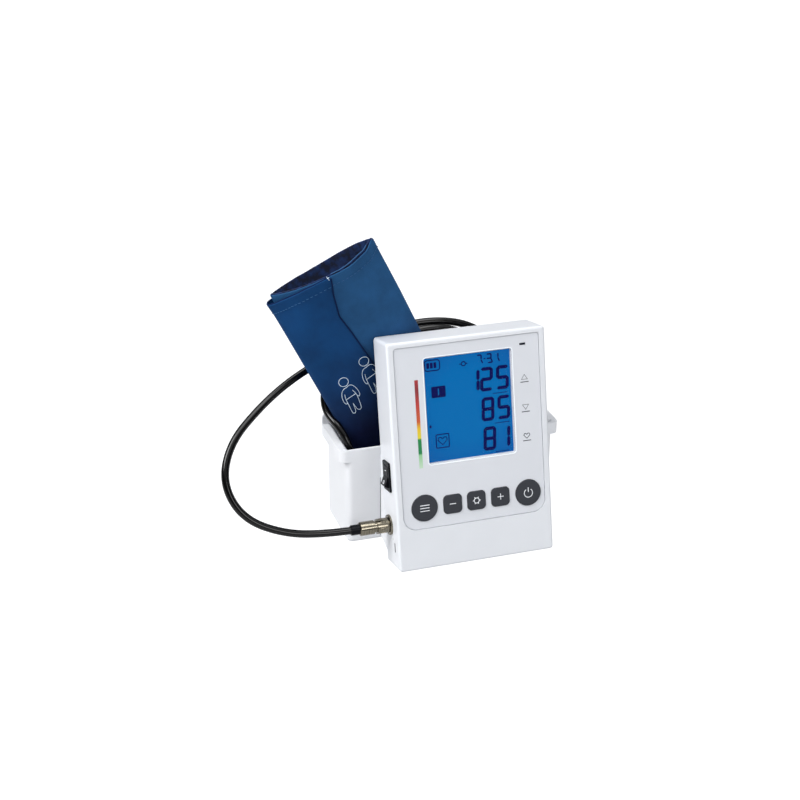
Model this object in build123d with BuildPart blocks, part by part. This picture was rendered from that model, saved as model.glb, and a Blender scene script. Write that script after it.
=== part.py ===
"""Wall-mounted blood pressure monitor: a tilted case on a wall basket with the cuff and hose kept in it.

Millimetres. X runs along the wall, Y into the wall, Z up. The origin is the middle of the four wall
screws, on the plane of the wall.
"""
import os
from math import acos, atan2, cos, hypot, pi, radians, sin, tan

from build123d import *

os.makedirs("parts", exist_ok=True)

# Gaps between pieces
fit_gap = 0.3          # round anything that moves
shaft_gap = 0.05       # round a pin or a screw
skin = 0.2             # between flat parts laid one on another

# Basket
basket_width = 200.0
basket_depth = 64.0
basket_height = 95.0
basket_wall = 2.4
back_wall = 3.0
basket_corner = 6.0
basket_foot = 4.0
rim_reach = 6.0        # the rim stands out by this at each side
rim_height = 11.5
rim_round = 3.2
rim_hole_radius = 1.2  # holes in the rim at its front corners
rim_hole_depth = 5.0
rim_hole_behind = 6.5
plate_rise = 13.0      # back plate over the rim
plate_corner = 8.0
mount_height = 50.0    # wall screws over the basket's underside
wall_hole_radius = 2.5
wall_head_radius = 4.6
wall_spacing_x = 150.0
wall_spacing_z = 60.0

# Case of the monitor
tilt = 12.0            # degrees that the case leans back
case_offset = 5.0      # the case sits this far right of the basket's middle
case_width = 148.0
case_height = 208.5
case_depth = 40.0
case_corner = 3.0
case_edge = 2.4        # round of the front and rear edges
case_wall = 2.4
seam_depth = 7.0       # the front housing ends here
case_drop = 108.7      # foot of the case under the top line of the wedge, along its back
wedge_clear = 1.0      # top line of the wedge over the basket's rim
lip_thickness = 1.1
lip_length = 2.0

# Fascia, display and keys: u across the case from its middle, v up from its foot
fascia_width = 135.0
fascia_height = 165.0
fascia_low = 38.0
fascia_foot_corner = 12.0
fascia_top_corner = 2.2
fascia_step = 0.8      # its face lies this far behind the rim of the case
fascia_thickness = 1.6
fascia_groove = 0.6
floor_thickness = 2.0
window_width = 83.0
window_height = 96.5
window_u = 0.5
window_v = 143.8
window_ledge = 1.0
window_corner = 3.0
window_gap = 0.1
lcd_thickness = 2.2
backlight_thickness = 3.0
holder_wall = 1.8
holder_shelf = 2.5
scale_width = 3.4
scale_height = 80.0
scale_u = -48.4
scale_v = 133.5
scale_thickness = 0.5
status_u = 52.3
status_v = 194.2
status_length = 5.4
status_width = 1.7
lamp_chip = 3.2
lamp_chip_height = 1.6
key_row_v = 56.7
mode_u = -47.5
minus_u = -21.0
set_u = 1.6
plus_u = 24.6
start_u = 51.6
round_key = 24.4
square_key = 17.4
key_corner = 4.0
key_flange = 1.4
key_flange_thickness = 1.2
key_travel = 1.2
stem_radius = 2.5
stem_length = 2.0

# Board and what sits on it
board_depth = 13.0
board_thickness = 1.6
board_margin = 18.0    # board in from each side of the case
board_height = 170.0
board_u = 2.0
board_low = 33.0
post_radius = 3.0
post_inset = 4.0       # upper posts in from the edges of the board
post_low_left = 14.0   # lower posts in from the edges of the board
post_low_right = 30.0
post_low = 38.0
post_middle = 84.0
post_high = 199.5
board_screw_radius = 1.2
board_head_radius = 2.2
board_head_height = 1.5
chip_side = 12.0
chip_u = 36.0
chip_v = 120.0
switch_side = 6.0
switch_button_radius = 1.6
switch_button_height = 0.8
buzzer_radius = 6.0
buzzer_height = 5.0
buzzer_u = 40.0
buzzer_v = 150.0

# Side of the case: depth behind the front face, v up the case
rocker_depth = 20.0
rocker_v = 85.5
rocker_length = 27.0
rocker_width = 19.0
rocker_corner = 2.0
rocker_proud = 1.8
rocker_shell = 1.7
rocker_body_depth = 14.0
rocker_swing = 11.0    # degrees each way from the middle
paddle_width = 12.0
paddle_reach = 8.9     # half length of its face
paddle_crown = 2.8     # height of its middle over the pin
paddle_keel = 4.5
pin_sink = 2.5         # pin under the face of the bezel
rocker_pin_radius = 1.2
socket_depth = 23.6
socket_v = 39.0
flange_radius = 9.4
flange_thickness = 2.0
thread_radius = 5.0
nose_radius = 3.5
nose_length = 8.0
air_bore = 1.4
nut_across = 14.0
nut_thickness = 3.0
barb_radius = 2.6
barb_length = 8.0
core_radius = 5.2
collar_radius = 5.8
collar_length = 0.4
coupler_radius = 6.4
coupler_length = 27.0
coupler_chamfer = 0.8
latch_radius = 6.9
latch_length = 10.2
latch_start = 0.7      # latch sleeve over the flange
latch_travel = 2.4
latch_grooves = 8
groove_radius = 1.0
ferrule_radius = 4.7
ferrule_length = 8.0
charge_depth = 12.0
charge_v = 20.3
charge_length = 8.6
charge_width = 3.0
charge_body = 7.0
charge_shell = 0.35
charge_tongue = 0.7
charge_tongue_length = 6.0
lamp_depth = 17.0
lamp_v = 27.2
lamp_radius = 1.0

# Air system and battery inside the case
manifold_u = -20.0
manifold_v = 41.0
manifold_width = 30.0
manifold_height = 14.0
manifold_depth = 12.0
tube_wall = 1.5
sensor_side = 8.0
valve_radius = 6.0
valve_length = 20.0
plunger_radius = 2.5
plunger_length = 12.0
pump_u = 46.0
pump_depth = 26.0
pump_port_rise = 3.0
head_width = 24.0
head_low = 36.0
head_length = 20.0
head_chamber = 7.0
chamber_length = 12.0
motor_radius = 10.0
motor_length = 28.0
motor_shell = 1.5
cradle_width = 16.0
shaft_radius = 1.0
armature_radius = 7.4
armature_slot = 1.6
crank_radius = 4.0
crank_throw = 1.5
crank_length = 6.0
cell_radius = 9.1
cell_length = 65.0
cell_low = 96.0
tray_wall = 2.0
tray_height = 11.0

# Wedge bracket between the case and the basket, and the screws
wedge_inset = 0.5
wedge_plate = 3.0
wedge_top_cut = 9.0    # its thin top is cut this far under the top line, along the case
wedge_solid = 12.0     # length under that cut which stays solid
wedge_foot_v = 10.5    # its foot on the back of the case
wedge_foot_rise = 3.6  # its foot over the basket's underside
wedge_groove = 0.7     # bevel where its sides meet the basket
screw_radius = 2.0
head_radius = 3.6
head_height = 2.4
boss_radius = 4.5
bracket_boss = 8.0
bracket_bite = 7.0
bracket_screw_u = 30.0
bracket_screw_low = 34.0
bracket_screw_high = 66.0
basket_screw_u = 52.0
basket_screw_low = 18.0
basket_screw_high = 54.0
basket_bite = 4.6
tower_inset = 8.5      # screw towers in from the sides of the case
tower_low = 9.0
tower_high = 199.5
tower_radius = 4.5
tower_depth = 12.0
tower_seat = 18.0
case_screw_radius = 1.5
case_head_radius = 2.8
case_head_height = 2.0
screw_tip_gap = 1.0

# Cuff, a flattened roll, and the hose
cuff_x = -109.8
cuff_behind = 33.0     # middle of the cuff behind the front of the basket
cuff_z = 208.3
cuff_lean = 25.47      # degrees to the left
cuff_width = 103.5
cuff_length = 190.0
cuff_mouth = 37.0      # thickness at the top
cuff_neck = 29.0
cuff_neck_at = 45.0
cuff_waist = 24.0
cuff_waist_at = 88.0
cuff_foot = 21.5
cuff_round = 0.45      # corner radius as a share of the thickness
cover_thickness = 1.5
bladder_thickness = 1.6
bladder_margin = 14.0
bladder_share = 0.8
lining_thickness = 1.2
cuff_gap = 0.2
flap_gap = 0.1
flap_thickness = 1.4
flap_width = 48.0
flap_tail = 14.0
port_width = 9.0
port_tongue = 1.2
port_radius = 4.6
port_length = 14.5
port_start = 0.5       # barrel of the port under the edge of the cuff
port_grip = 12.0       # length of hose inside the port
hose_radius = 3.5
hose_bore = 2.0
hose_lead = 27.0       # straight out of the coupler
hose_foot_lead = 26.0  # straight into the port
hose_foot_run = 53.0
bend_share = 0.45      # of the shorter run beside a bend
hose_samples = 600

# Levels and planes that the rest hangs on
basket_floor = -mount_height
rim_top = basket_floor + basket_height
lean, rise = sin(radians(tilt)), cos(radians(tilt))
case_plane = Plane(
    origin=(
        case_offset,
        -basket_depth - case_drop * lean - case_depth * rise,
        rim_top + wedge_clear - case_drop * rise + case_depth * lean,
    ),
    x_dir=(1, 0, 0),
    z_dir=(0, -rise, lean),
)
side_plane = Plane(
    origin=case_plane.from_local_coords((-case_width / 2, 0, 0)), x_dir=(0, -rise, lean), z_dir=(-1, 0, 0)
)
room_axis = Axis(case_plane.origin, case_plane.z_dir)
floor_front = fascia_step + fascia_thickness
floor_back = floor_front + floor_thickness
rear_inner = case_depth - case_wall
board_back = board_depth + board_thickness
lcd_front = floor_back + skin
light_front = lcd_front + lcd_thickness + skin
light_back = light_front + backlight_thickness
flange_front = floor_back + skin
flange_back = flange_front + key_flange_thickness
stem_end = flange_back + stem_length
switch_top = stem_end + key_travel + fit_gap
case_mid = case_height / 2
board_width = case_width - 2 * board_margin
board_left = board_u - board_width / 2
board_right = board_u + board_width / 2
key_places = {"mode": mode_u, "minus": minus_u, "set": set_u, "plus": plus_u, "start": start_u}
switch_places = [(u, key_row_v) for u in key_places.values()]
board_posts = [
    (u, v) for u in (board_left + post_inset, board_right - post_inset) for v in (post_middle, post_high)
]
board_posts += [(board_left + post_low_left, post_low), (board_right - post_low_right, post_low)]
tower_u = case_width / 2 - tower_inset
tower_places = [(u, v) for u in (-tower_u, tower_u) for v in (tower_low, tower_high)]
bracket_places = [
    (u, v) for u in (-bracket_screw_u, bracket_screw_u) for v in (bracket_screw_low, bracket_screw_high)
]
basket_places = [
    (u, z) for u in (-basket_screw_u, basket_screw_u) for z in (basket_screw_low, basket_screw_high)
]
basket_front = Plane(
    origin=(case_offset, -basket_depth, basket_floor), x_dir=(1, 0, 0), z_dir=(0, -1, 0)
)


def behind(depth: float) -> Plane:
    """The plane of the case's face, moved back into the case."""
    return case_plane.offset(-depth)


def across(u: float, v: float, depth: float) -> Plane:
    """A plane square to the height of the case; its X is u and its Y goes back into the case."""
    return Plane(origin=case_plane.from_local_coords((u, v, -depth)), x_dir=(1, 0, 0), z_dir=(0, lean, rise))


def on_back(v: float) -> tuple[float, float]:
    """Y and Z of a point on the back of the case, v up the case."""
    point = case_plane.from_local_coords((0, v, -case_depth))
    return point.Y, point.Z


def finish(builder: BuildPart, label: str) -> None:
    """Names a finished piece and writes it out."""
    builder.part.label = label
    export_step(builder.part, f"parts/{label}.step")


# Outline of the fascia, rounder at its foot, and of the recess that it lies in
fascia_sketches = []
for margin in (0.0, fascia_groove):
    with BuildSketch() as outline:
        with Locations((0, fascia_low + fascia_height / 2)):
            Rectangle(fascia_width + 2 * margin, fascia_height + 2 * margin)
        fillet(outline.vertices().group_by(Axis.Y)[0], fascia_foot_corner + margin)
        fillet(outline.vertices().group_by(Axis.Y)[-1], fascia_top_corner + margin)
    fascia_sketches.append(outline.sketch)
fascia_shape, recess_shape = fascia_sketches


def key_shape(key: str, margin: float) -> None:
    """Draws the outline of a key, larger by the margin, in the sketch that is open."""
    with Locations((key_places[key], key_row_v)):
        if key in ("mode", "start"):
            Circle(round_key / 2 + margin)
        else:
            side = square_key + 2 * margin
            RectangleRounded(side, side, key_corner + margin)


# Basket with its rim, its back plate and its screw holes
with BuildPart() as basket:
    with BuildSketch(Plane.XY.offset(basket_floor)):
        with Locations((0, -basket_depth / 2)):
            Rectangle(basket_width, basket_depth)
    extrude(amount=basket_height)
    fillet(basket.edges().filter_by(Axis.Z).group_by(Axis.Y)[0], basket_corner)
    fillet(basket.faces().sort_by(Axis.Z)[0].edges(), basket_foot)
    with BuildSketch(Plane.XY.offset(rim_top - rim_height)):
        with Locations((0, -basket_depth / 2)):
            Rectangle(basket_width + 2 * rim_reach, basket_depth)
    extrude(amount=rim_height)
    rim_corners = basket.edges().filter_by(Axis.Z).filter_by(
        lambda e: e.center().Z > rim_top - rim_height and abs(e.center().X) > basket_width / 2
    )
    fillet(rim_corners.group_by(Axis.Y)[0], basket_corner)
    with BuildSketch(Plane.XZ):
        with Locations((0, rim_top - rim_height)):
            Rectangle(
                basket_width + 2 * rim_reach, rim_height + plate_rise, align=(Align.CENTER, Align.MIN)
            )
    extrude(amount=back_wall)
    fillet(basket.edges().filter_by(Axis.Y).group_by(Axis.Z)[-1], plate_corner)
    with BuildSketch(Plane.XY.offset(basket_floor + basket_wall)):
        with Locations((0, -(back_wall + basket_depth - basket_wall) / 2)):
            Rectangle(basket_width - 2 * basket_wall, basket_depth - back_wall - basket_wall)
    extrude(amount=basket_height, mode=Mode.SUBTRACT)
    inner_rims = basket.edges().filter_by(Axis.Y).filter_by(
        lambda e: abs(e.center().Z - rim_top) < skin and abs(e.center().X) < basket_width / 2
    )
    fillet(inner_rims, rim_round)
    with BuildSketch(Plane.XY.offset(rim_top)):
        with Locations(*[(side * basket_width / 2, rim_hole_behind - basket_depth) for side in (-1, 1)]):
            Circle(rim_hole_radius)
    extrude(amount=-rim_hole_depth, mode=Mode.SUBTRACT)
    with Locations(Plane(origin=(0, -back_wall, 0), x_dir=(1, 0, 0), z_dir=(0, -1, 0))):
        with GridLocations(wall_spacing_x, wall_spacing_z, 2, 2):
            CounterSinkHole(wall_hole_radius, wall_head_radius, depth=back_wall)
    with BuildSketch(basket_front):
        with Locations(*basket_places):
            Circle(screw_radius + shaft_gap)
    extrude(amount=-basket_wall, mode=Mode.SUBTRACT)
finish(basket, "basket")

# Wedge bracket: its front follows the tilted case, its back stands on the basket
wedge_width = case_width - 2 * wedge_inset
wedge_top_v = case_drop - wedge_top_cut / rise
wedge_foot = basket_floor + wedge_foot_rise
wedge_left = case_offset - wedge_width / 2
plate_reach = wedge_plate / rise
with BuildPart() as wedge_bracket:
    with BuildSketch(Plane.YZ.offset(wedge_left)):
        with BuildLine():
            Polyline(
                on_back(wedge_top_v),
                (-basket_depth, on_back(wedge_top_v)[1]),
                (-basket_depth, wedge_foot),
                on_back(wedge_foot_v),
                close=True,
            )
        make_face()
    extrude(amount=wedge_width)
    chamfer(wedge_bracket.edges().filter_by(Axis.Z), wedge_groove)
    with BuildSketch(Plane.YZ.offset(wedge_left + case_wall)):
        with BuildLine():
            high, low = on_back(wedge_top_v - wedge_solid), on_back(wedge_foot_v + case_wall)
            Polyline(
                (high[0] + plate_reach, high[1]),
                (-basket_depth, high[1]),
                (-basket_depth, wedge_foot + case_wall),
                (low[0] + plate_reach, low[1] + case_wall),
                close=True,
            )
        make_face()
    extrude(amount=wedge_width - 2 * case_wall, mode=Mode.SUBTRACT)
    with BuildSketch(basket_front):
        with Locations(*basket_places):
            Circle(boss_radius)
    extrude(until=Until.NEXT)
    with BuildSketch(basket_front):
        with Locations(*basket_places):
            Circle(screw_radius)
    extrude(amount=basket_bite, mode=Mode.SUBTRACT)
    with BuildSketch(behind(case_depth)):
        with Locations(*bracket_places):
            Circle(screw_radius + shaft_gap)
    extrude(amount=-wedge_plate - skin, mode=Mode.SUBTRACT)
finish(wedge_bracket, "wedge_bracket")

# Front housing: rim, floor under the fascia, posts for the board and bosses for the long screws
inner_width = case_width - 2 * case_wall
inner_height = case_height - 2 * case_wall
inner_corner = case_corner / 2
with BuildPart() as front_housing:
    with BuildSketch(behind(seam_depth)):
        with Locations((0, case_mid)):
            RectangleRounded(case_width, case_height, case_corner)
    extrude(amount=seam_depth)
    fillet(front_housing.faces().sort_by(room_axis)[-1].edges(), case_edge)
    with BuildSketch(case_plane):
        add(recess_shape)
    extrude(amount=-floor_front, mode=Mode.SUBTRACT)
    with BuildSketch(behind(seam_depth)):
        with Locations((0, case_mid)):
            RectangleRounded(inner_width, inner_height, inner_corner)
    extrude(amount=seam_depth - floor_back, mode=Mode.SUBTRACT)
    chin_height = fascia_low - fascia_groove - 2 * case_wall
    with BuildSketch(behind(floor_back)):
        with Locations((0, case_wall + chin_height / 2)):
            Rectangle(inner_width, chin_height)
    extrude(amount=floor_back - case_wall - skin, mode=Mode.SUBTRACT)
    lip_size = (inner_width - 2 * skin, inner_height - 2 * skin)
    lip_hole = (lip_size[0] - 2 * lip_thickness, lip_size[1] - 2 * lip_thickness)
    for level, size, length in (
        (seam_depth, (inner_width + skin, inner_height + skin), lip_length / 2),
        (seam_depth + lip_length, lip_size, lip_length),
    ):
        with BuildSketch(behind(level)):
            with Locations((0, case_mid)):
                RectangleRounded(*size, inner_corner)
                RectangleRounded(*lip_hole, inner_corner - lip_thickness, mode=Mode.SUBTRACT)
        extrude(amount=length)
    with BuildSketch(behind(board_depth)):
        with Locations(*board_posts):
            Circle(post_radius)
    extrude(amount=board_depth - floor_front)
    with BuildSketch(behind(tower_depth)):
        with Locations(*tower_places):
            Circle(tower_radius - screw_tip_gap)
    extrude(amount=tower_depth - floor_front)
    with BuildSketch(behind(case_depth)):
        with Locations((window_u, window_v)):
            Rectangle(window_width - 2 * window_ledge, window_height - 2 * window_ledge)
        with Locations((status_u, status_v)):
            Rectangle(status_length + 2 * skin, status_width + 2 * skin)
        for key in key_places:
            key_shape(key, fit_gap)
    extrude(amount=case_depth, mode=Mode.SUBTRACT)
    with BuildSketch(behind(board_depth)):
        with Locations(*board_posts):
            Circle(board_screw_radius)
    extrude(amount=board_depth - floor_back - screw_tip_gap, mode=Mode.SUBTRACT)
    with BuildSketch(behind(tower_depth)):
        with Locations(*tower_places):
            Circle(case_screw_radius)
    extrude(amount=tower_depth - floor_back - screw_tip_gap, mode=Mode.SUBTRACT)
finish(front_housing, "front_housing")

# Rear housing: shell, screw towers, bosses for the wedge, and the openings in its side
paddle_end = paddle_crown + paddle_reach * tan(radians(rocker_swing))
paddle_radius = hypot(paddle_reach, paddle_end)
rocker_body_length = 2 * (paddle_radius + fit_gap + rocker_shell)
rocker_body_width = paddle_width + 2 * (fit_gap + rocker_shell)
with BuildPart() as rear_housing:
    with BuildSketch(behind(case_depth)):
        with Locations((0, case_mid)):
            RectangleRounded(case_width, case_height, case_corner)
    extrude(amount=case_depth - seam_depth)
    fillet(rear_housing.faces().sort_by(room_axis)[0].edges(), case_edge)
    with BuildSketch(behind(rear_inner)):
        with Locations((0, case_mid)):
            RectangleRounded(inner_width, inner_height, inner_corner)
    extrude(amount=rear_inner, mode=Mode.SUBTRACT)
    with BuildSketch(behind(rear_inner)):
        with Locations(*tower_places):
            Circle(tower_radius)
    extrude(amount=rear_inner - tower_depth)
    with BuildSketch(behind(rear_inner)):
        with Locations(*bracket_places):
            Circle(boss_radius)
    extrude(amount=bracket_boss)
    with BuildSketch(behind(case_depth)):
        with Locations(*tower_places):
            Circle(case_head_radius + skin)
    extrude(amount=case_depth - tower_seat, mode=Mode.SUBTRACT)
    with BuildSketch(behind(case_depth)):
        with Locations(*tower_places):
            Circle(case_screw_radius + shaft_gap)
    extrude(amount=case_depth, mode=Mode.SUBTRACT)
    with BuildSketch(behind(case_depth)):
        with Locations(*bracket_places):
            Circle(screw_radius)
    extrude(amount=bracket_bite + skin, mode=Mode.SUBTRACT)
    with BuildSketch(side_plane):
        with Locations((-rocker_depth, rocker_v)):
            Rectangle(rocker_body_width + 2 * skin, rocker_body_length + 2 * skin)
        with Locations((-socket_depth, socket_v)):
            Circle(thread_radius + skin)
        with Locations((-charge_depth, charge_v)):
            Rectangle(charge_width + 2 * shaft_gap, charge_length + 2 * shaft_gap)
        with Locations((-lamp_depth, lamp_v)):
            Circle(lamp_radius + shaft_gap)
    extrude(amount=-case_wall, mode=Mode.SUBTRACT)
finish(rear_housing, "rear_housing")

# Fascia, with the openings for the window, the keys and the lights
with BuildPart() as fascia_panel:
    with BuildSketch(behind(floor_front)):
        add(fascia_shape)
    extrude(amount=fascia_thickness)
    with BuildSketch(behind(floor_front)):
        with Locations((window_u, window_v)):
            RectangleRounded(window_width + 2 * window_gap, window_height + 2 * window_gap, window_corner)
        with Locations((status_u, status_v)):
            Rectangle(status_length + 2 * skin, status_width + 2 * skin)
        for key in key_places:
            key_shape(key, fit_gap)
    extrude(amount=fascia_thickness, mode=Mode.SUBTRACT)
    with BuildSketch(behind(fascia_step)):
        with Locations((scale_u, scale_v)):
            Rectangle(scale_width, scale_height)
    extrude(amount=-scale_thickness, mode=Mode.SUBTRACT)
finish(fascia_panel, "fascia_panel")

with BuildPart() as display_window:
    with BuildSketch(behind(floor_front)):
        with Locations((window_u, window_v)):
            RectangleRounded(window_width, window_height, window_corner)
    extrude(amount=fascia_thickness - window_gap)
finish(display_window, "display_window")

with BuildPart() as colour_scale:
    with BuildSketch(behind(fascia_step + scale_thickness)):
        with Locations((scale_u, scale_v)):
            Rectangle(scale_width - window_gap, scale_height - window_gap)
    extrude(amount=scale_thickness)
finish(colour_scale, "colour_scale")

# Display stack behind the window, in a frame between the floor and the board
with BuildPart() as lcd_panel:
    with BuildSketch(behind(lcd_front + lcd_thickness)):
        with Locations((window_u, window_v)):
            Rectangle(window_width, window_height)
    extrude(amount=lcd_thickness)
finish(lcd_panel, "lcd_panel")

with BuildPart() as lcd_backlight:
    with BuildSketch(behind(light_back)):
        with Locations((window_u, window_v)):
            Rectangle(window_width, window_height)
    extrude(amount=backlight_thickness)
finish(lcd_backlight, "lcd_backlight")

with BuildPart() as lcd_holder:
    with BuildSketch(behind(board_depth)):
        with Locations((window_u, window_v)):
            frame_margin = 2 * (skin + holder_wall)
            Rectangle(window_width + frame_margin, window_height + frame_margin)
            Rectangle(window_width + 2 * skin, window_height + 2 * skin, mode=Mode.SUBTRACT)
    extrude(amount=board_depth - floor_back)
    with BuildSketch(behind(board_depth)):
        with Locations((window_u, window_v)):
            Rectangle(window_width + holder_wall, window_height + holder_wall)
            Rectangle(window_width - 2 * holder_shelf, window_height - 2 * holder_shelf, mode=Mode.SUBTRACT)
    extrude(amount=board_depth - light_back)
finish(lcd_holder, "lcd_holder")

# Five keys: cap, retaining flange and stem
for key in key_places:
    with BuildPart() as button:
        with BuildSketch(behind(flange_front)):
            key_shape(key, 0)
        extrude(amount=flange_front)
        fillet(button.faces().sort_by(room_axis)[-1].edges(), fascia_step / 2)
        with BuildSketch(behind(flange_back)):
            key_shape(key, key_flange)
        extrude(amount=key_flange_thickness)
        with BuildSketch(behind(stem_end)):
            with Locations((key_places[key], key_row_v)):
                Circle(stem_radius)
        extrude(amount=stem_length)
    finish(button, f"{key}_button")

# Board with its chips, and the small parts soldered to it
with BuildPart() as main_board:
    with BuildSketch(behind(board_back)):
        with Locations((board_u, board_low + board_height / 2)):
            RectangleRounded(board_width, board_height, post_radius)
        with Locations(*board_posts):
            Circle(board_screw_radius + shaft_gap, mode=Mode.SUBTRACT)
    extrude(amount=board_thickness)
    with BuildSketch(behind(board_back)):
        with Locations((-chip_u, chip_v), (chip_u, chip_v)):
            Rectangle(chip_side, chip_side)
        with Locations((chip_u, post_high - chip_side), (-chip_u, post_high - chip_side)):
            Rectangle(chip_side, chip_side / 2)
    extrude(amount=-board_thickness)
finish(main_board, "main_board")

with BuildPart() as key_switches:
    with BuildSketch(behind(board_depth)):
        with Locations(*switch_places):
            Rectangle(switch_side, switch_side)
    extrude(amount=board_depth - switch_top - switch_button_height)
    with BuildSketch(behind(switch_top + switch_button_height)):
        with Locations(*switch_places):
            Circle(switch_button_radius)
    extrude(amount=switch_button_height)
finish(key_switches, "key_switches")

with BuildPart() as status_led:
    with BuildSketch(behind(board_depth)):
        with Locations((status_u, status_v)):
            Rectangle(lamp_chip, lamp_chip)
    extrude(amount=lamp_chip_height)
finish(status_led, "status_led")

with BuildPart() as status_light:
    with BuildSketch(behind(board_depth - lamp_chip_height - skin)):
        with Locations((status_u, status_v)):
            Rectangle(status_length, status_width)
    extrude(amount=board_depth - lamp_chip_height - skin - fascia_step)
finish(status_light, "status_light")

with BuildPart() as buzzer:
    with BuildSketch(behind(board_back + buzzer_height)):
        with Locations((buzzer_u, buzzer_v)):
            Circle(buzzer_radius)
    extrude(amount=buzzer_height)
    with BuildSketch(behind(board_back + buzzer_height)):
        with Locations((buzzer_u, buzzer_v)):
            Circle(shaft_radius)
    extrude(amount=board_thickness, mode=Mode.SUBTRACT)
finish(buzzer, "buzzer")

with BuildPart() as board_screws:
    with BuildSketch(behind(board_back + board_head_height)):
        with Locations(*board_posts):
            Circle(board_head_radius)
    extrude(amount=board_head_height)
    with BuildSketch(behind(board_back)):
        with Locations(*board_posts):
            Circle(board_screw_radius)
    extrude(amount=board_back - floor_back - 2 * screw_tip_gap)
    with BuildSketch(behind(board_back + board_head_height)):
        with Locations(*board_posts):
            RegularPolygon(board_screw_radius, 6)
    extrude(amount=board_head_height / 2, mode=Mode.SUBTRACT)
finish(board_screws, "board_screws")

# Power switch in the side: bezel frame and rocker
pin_centre = side_plane.from_local_coords((-rocker_depth, rocker_v, rocker_proud - pin_sink))
pin_plane = Plane(origin=pin_centre, x_dir=(0, lean, rise), z_dir=(0, -rise, lean))
swing, swing_back = cos(radians(rocker_swing)), sin(radians(rocker_swing))
paddle_up = (swing_back, lean * swing, rise * swing)
paddle_plane = Plane(origin=pin_centre, x_dir=paddle_up, z_dir=(0, -rise, lean))
with BuildPart() as rocker_frame:
    with BuildSketch(side_plane):
        with Locations((-rocker_depth, rocker_v)):
            RectangleRounded(rocker_width, rocker_length, rocker_corner)
    extrude(amount=rocker_proud)
    fillet(rocker_frame.faces().sort_by(Axis.X)[0].edges(), rocker_proud / 3)
    with BuildSketch(side_plane):
        with Locations((-rocker_depth, rocker_v)):
            Rectangle(rocker_body_width, rocker_body_length)
    extrude(amount=-rocker_body_depth)
    with BuildSketch(side_plane.offset(rocker_proud)):
        with Locations((-rocker_depth, rocker_v)):
            Rectangle(paddle_width + 2 * fit_gap, 2 * (paddle_radius + fit_gap))
    extrude(amount=rocker_shell - rocker_proud - rocker_body_depth, mode=Mode.SUBTRACT)
    with BuildSketch(pin_plane):
        Circle(rocker_pin_radius + shaft_gap)
    extrude(amount=rocker_body_width / 2, both=True, mode=Mode.SUBTRACT)
finish(rocker_frame, "rocker_frame")

# The rocker lies as the photo shows it, its lower end out; its ends are arcs round the pin
end_angle = atan2(paddle_end, paddle_reach)
end_middle = (paddle_radius * cos(end_angle / 2), paddle_radius * sin(end_angle / 2))
with BuildPart() as rocker_paddle:
    with BuildSketch(paddle_plane):
        with BuildLine():
            ThreePointArc((paddle_reach, paddle_end), end_middle, (paddle_radius, 0))
            Polyline(
                (paddle_radius, 0),
                (paddle_reach / 3, -paddle_keel),
                (-paddle_reach / 3, -paddle_keel),
                (-paddle_radius, 0),
            )
            ThreePointArc((-paddle_radius, 0), (-end_middle[0], end_middle[1]), (-paddle_reach, paddle_end))
            Polyline((-paddle_reach, paddle_end), (0, paddle_crown), (paddle_reach, paddle_end))
        make_face()
    extrude(amount=paddle_width / 2, both=True)
    with BuildSketch(pin_plane):
        Circle(rocker_pin_radius)
    extrude(amount=rocker_body_width / 2 - skin, both=True)
finish(rocker_paddle, "rocker_paddle")

# Air socket through the side, its nut, and the quick coupler on it
socket_place = (-socket_depth, socket_v)
socket_thread = case_wall + nut_thickness + screw_tip_gap
with BuildPart() as air_socket:
    with BuildSketch(side_plane):
        with Locations(socket_place):
            Circle(flange_radius)
    extrude(amount=flange_thickness)
    chamfer(air_socket.faces().sort_by(Axis.X)[0].edges(), flange_thickness / 4)
    for radius, length in (
        (nose_radius, flange_thickness + nose_length),
        (thread_radius, -socket_thread),
        (barb_radius, -socket_thread - barb_length),
    ):
        with BuildSketch(side_plane):
            with Locations(socket_place):
                Circle(radius)
        extrude(amount=length)
    with BuildSketch(side_plane.offset(flange_thickness + nose_length)):
        with Locations(socket_place):
            Circle(air_bore)
    extrude(amount=-(flange_thickness + nose_length + socket_thread + barb_length), mode=Mode.SUBTRACT)
finish(air_socket, "air_socket")

with BuildPart() as socket_nut:
    with BuildSketch(side_plane.offset(-case_wall)):
        with Locations(socket_place):
            RegularPolygon(nut_across / 2, 6, major_radius=False)
            Circle(thread_radius + shaft_gap, mode=Mode.SUBTRACT)
    extrude(amount=-nut_thickness)
finish(socket_nut, "socket_nut")

core_length = latch_start + latch_length + latch_travel + fit_gap
with BuildPart() as coupler_body:
    for start, radius, length in (
        (0, core_radius, core_length),
        (0, collar_radius, collar_length),
        (core_length, coupler_radius, coupler_length - core_length),
    ):
        with BuildSketch(side_plane.offset(flange_thickness + start)):
            with Locations(socket_place):
                Circle(radius)
        extrude(amount=length)
    chamfer(coupler_body.faces().sort_by(Axis.X)[0].edges(), coupler_chamfer)
    for radius, length in ((nose_radius + shaft_gap, nose_length + fit_gap), (air_bore, coupler_length)):
        with BuildSketch(side_plane.offset(flange_thickness)):
            with Locations(socket_place):
                Circle(radius)
        extrude(amount=length, mode=Mode.SUBTRACT)
finish(coupler_body, "coupler_body")

with BuildPart() as coupler_latch:
    with BuildSketch(side_plane.offset(flange_thickness + latch_start)):
        with Locations(socket_place):
            Circle(latch_radius)
            Circle(core_radius + shaft_gap, mode=Mode.SUBTRACT)
    extrude(amount=latch_length)
    with BuildSketch(side_plane.offset(flange_thickness + latch_start + latch_length / 4)):
        with Locations(socket_place):
            with PolarLocations(latch_radius + groove_radius / 3, latch_grooves):
                Circle(groove_radius)
    extrude(amount=latch_length / 2, mode=Mode.SUBTRACT)
finish(coupler_latch, "coupler_latch")

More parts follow.
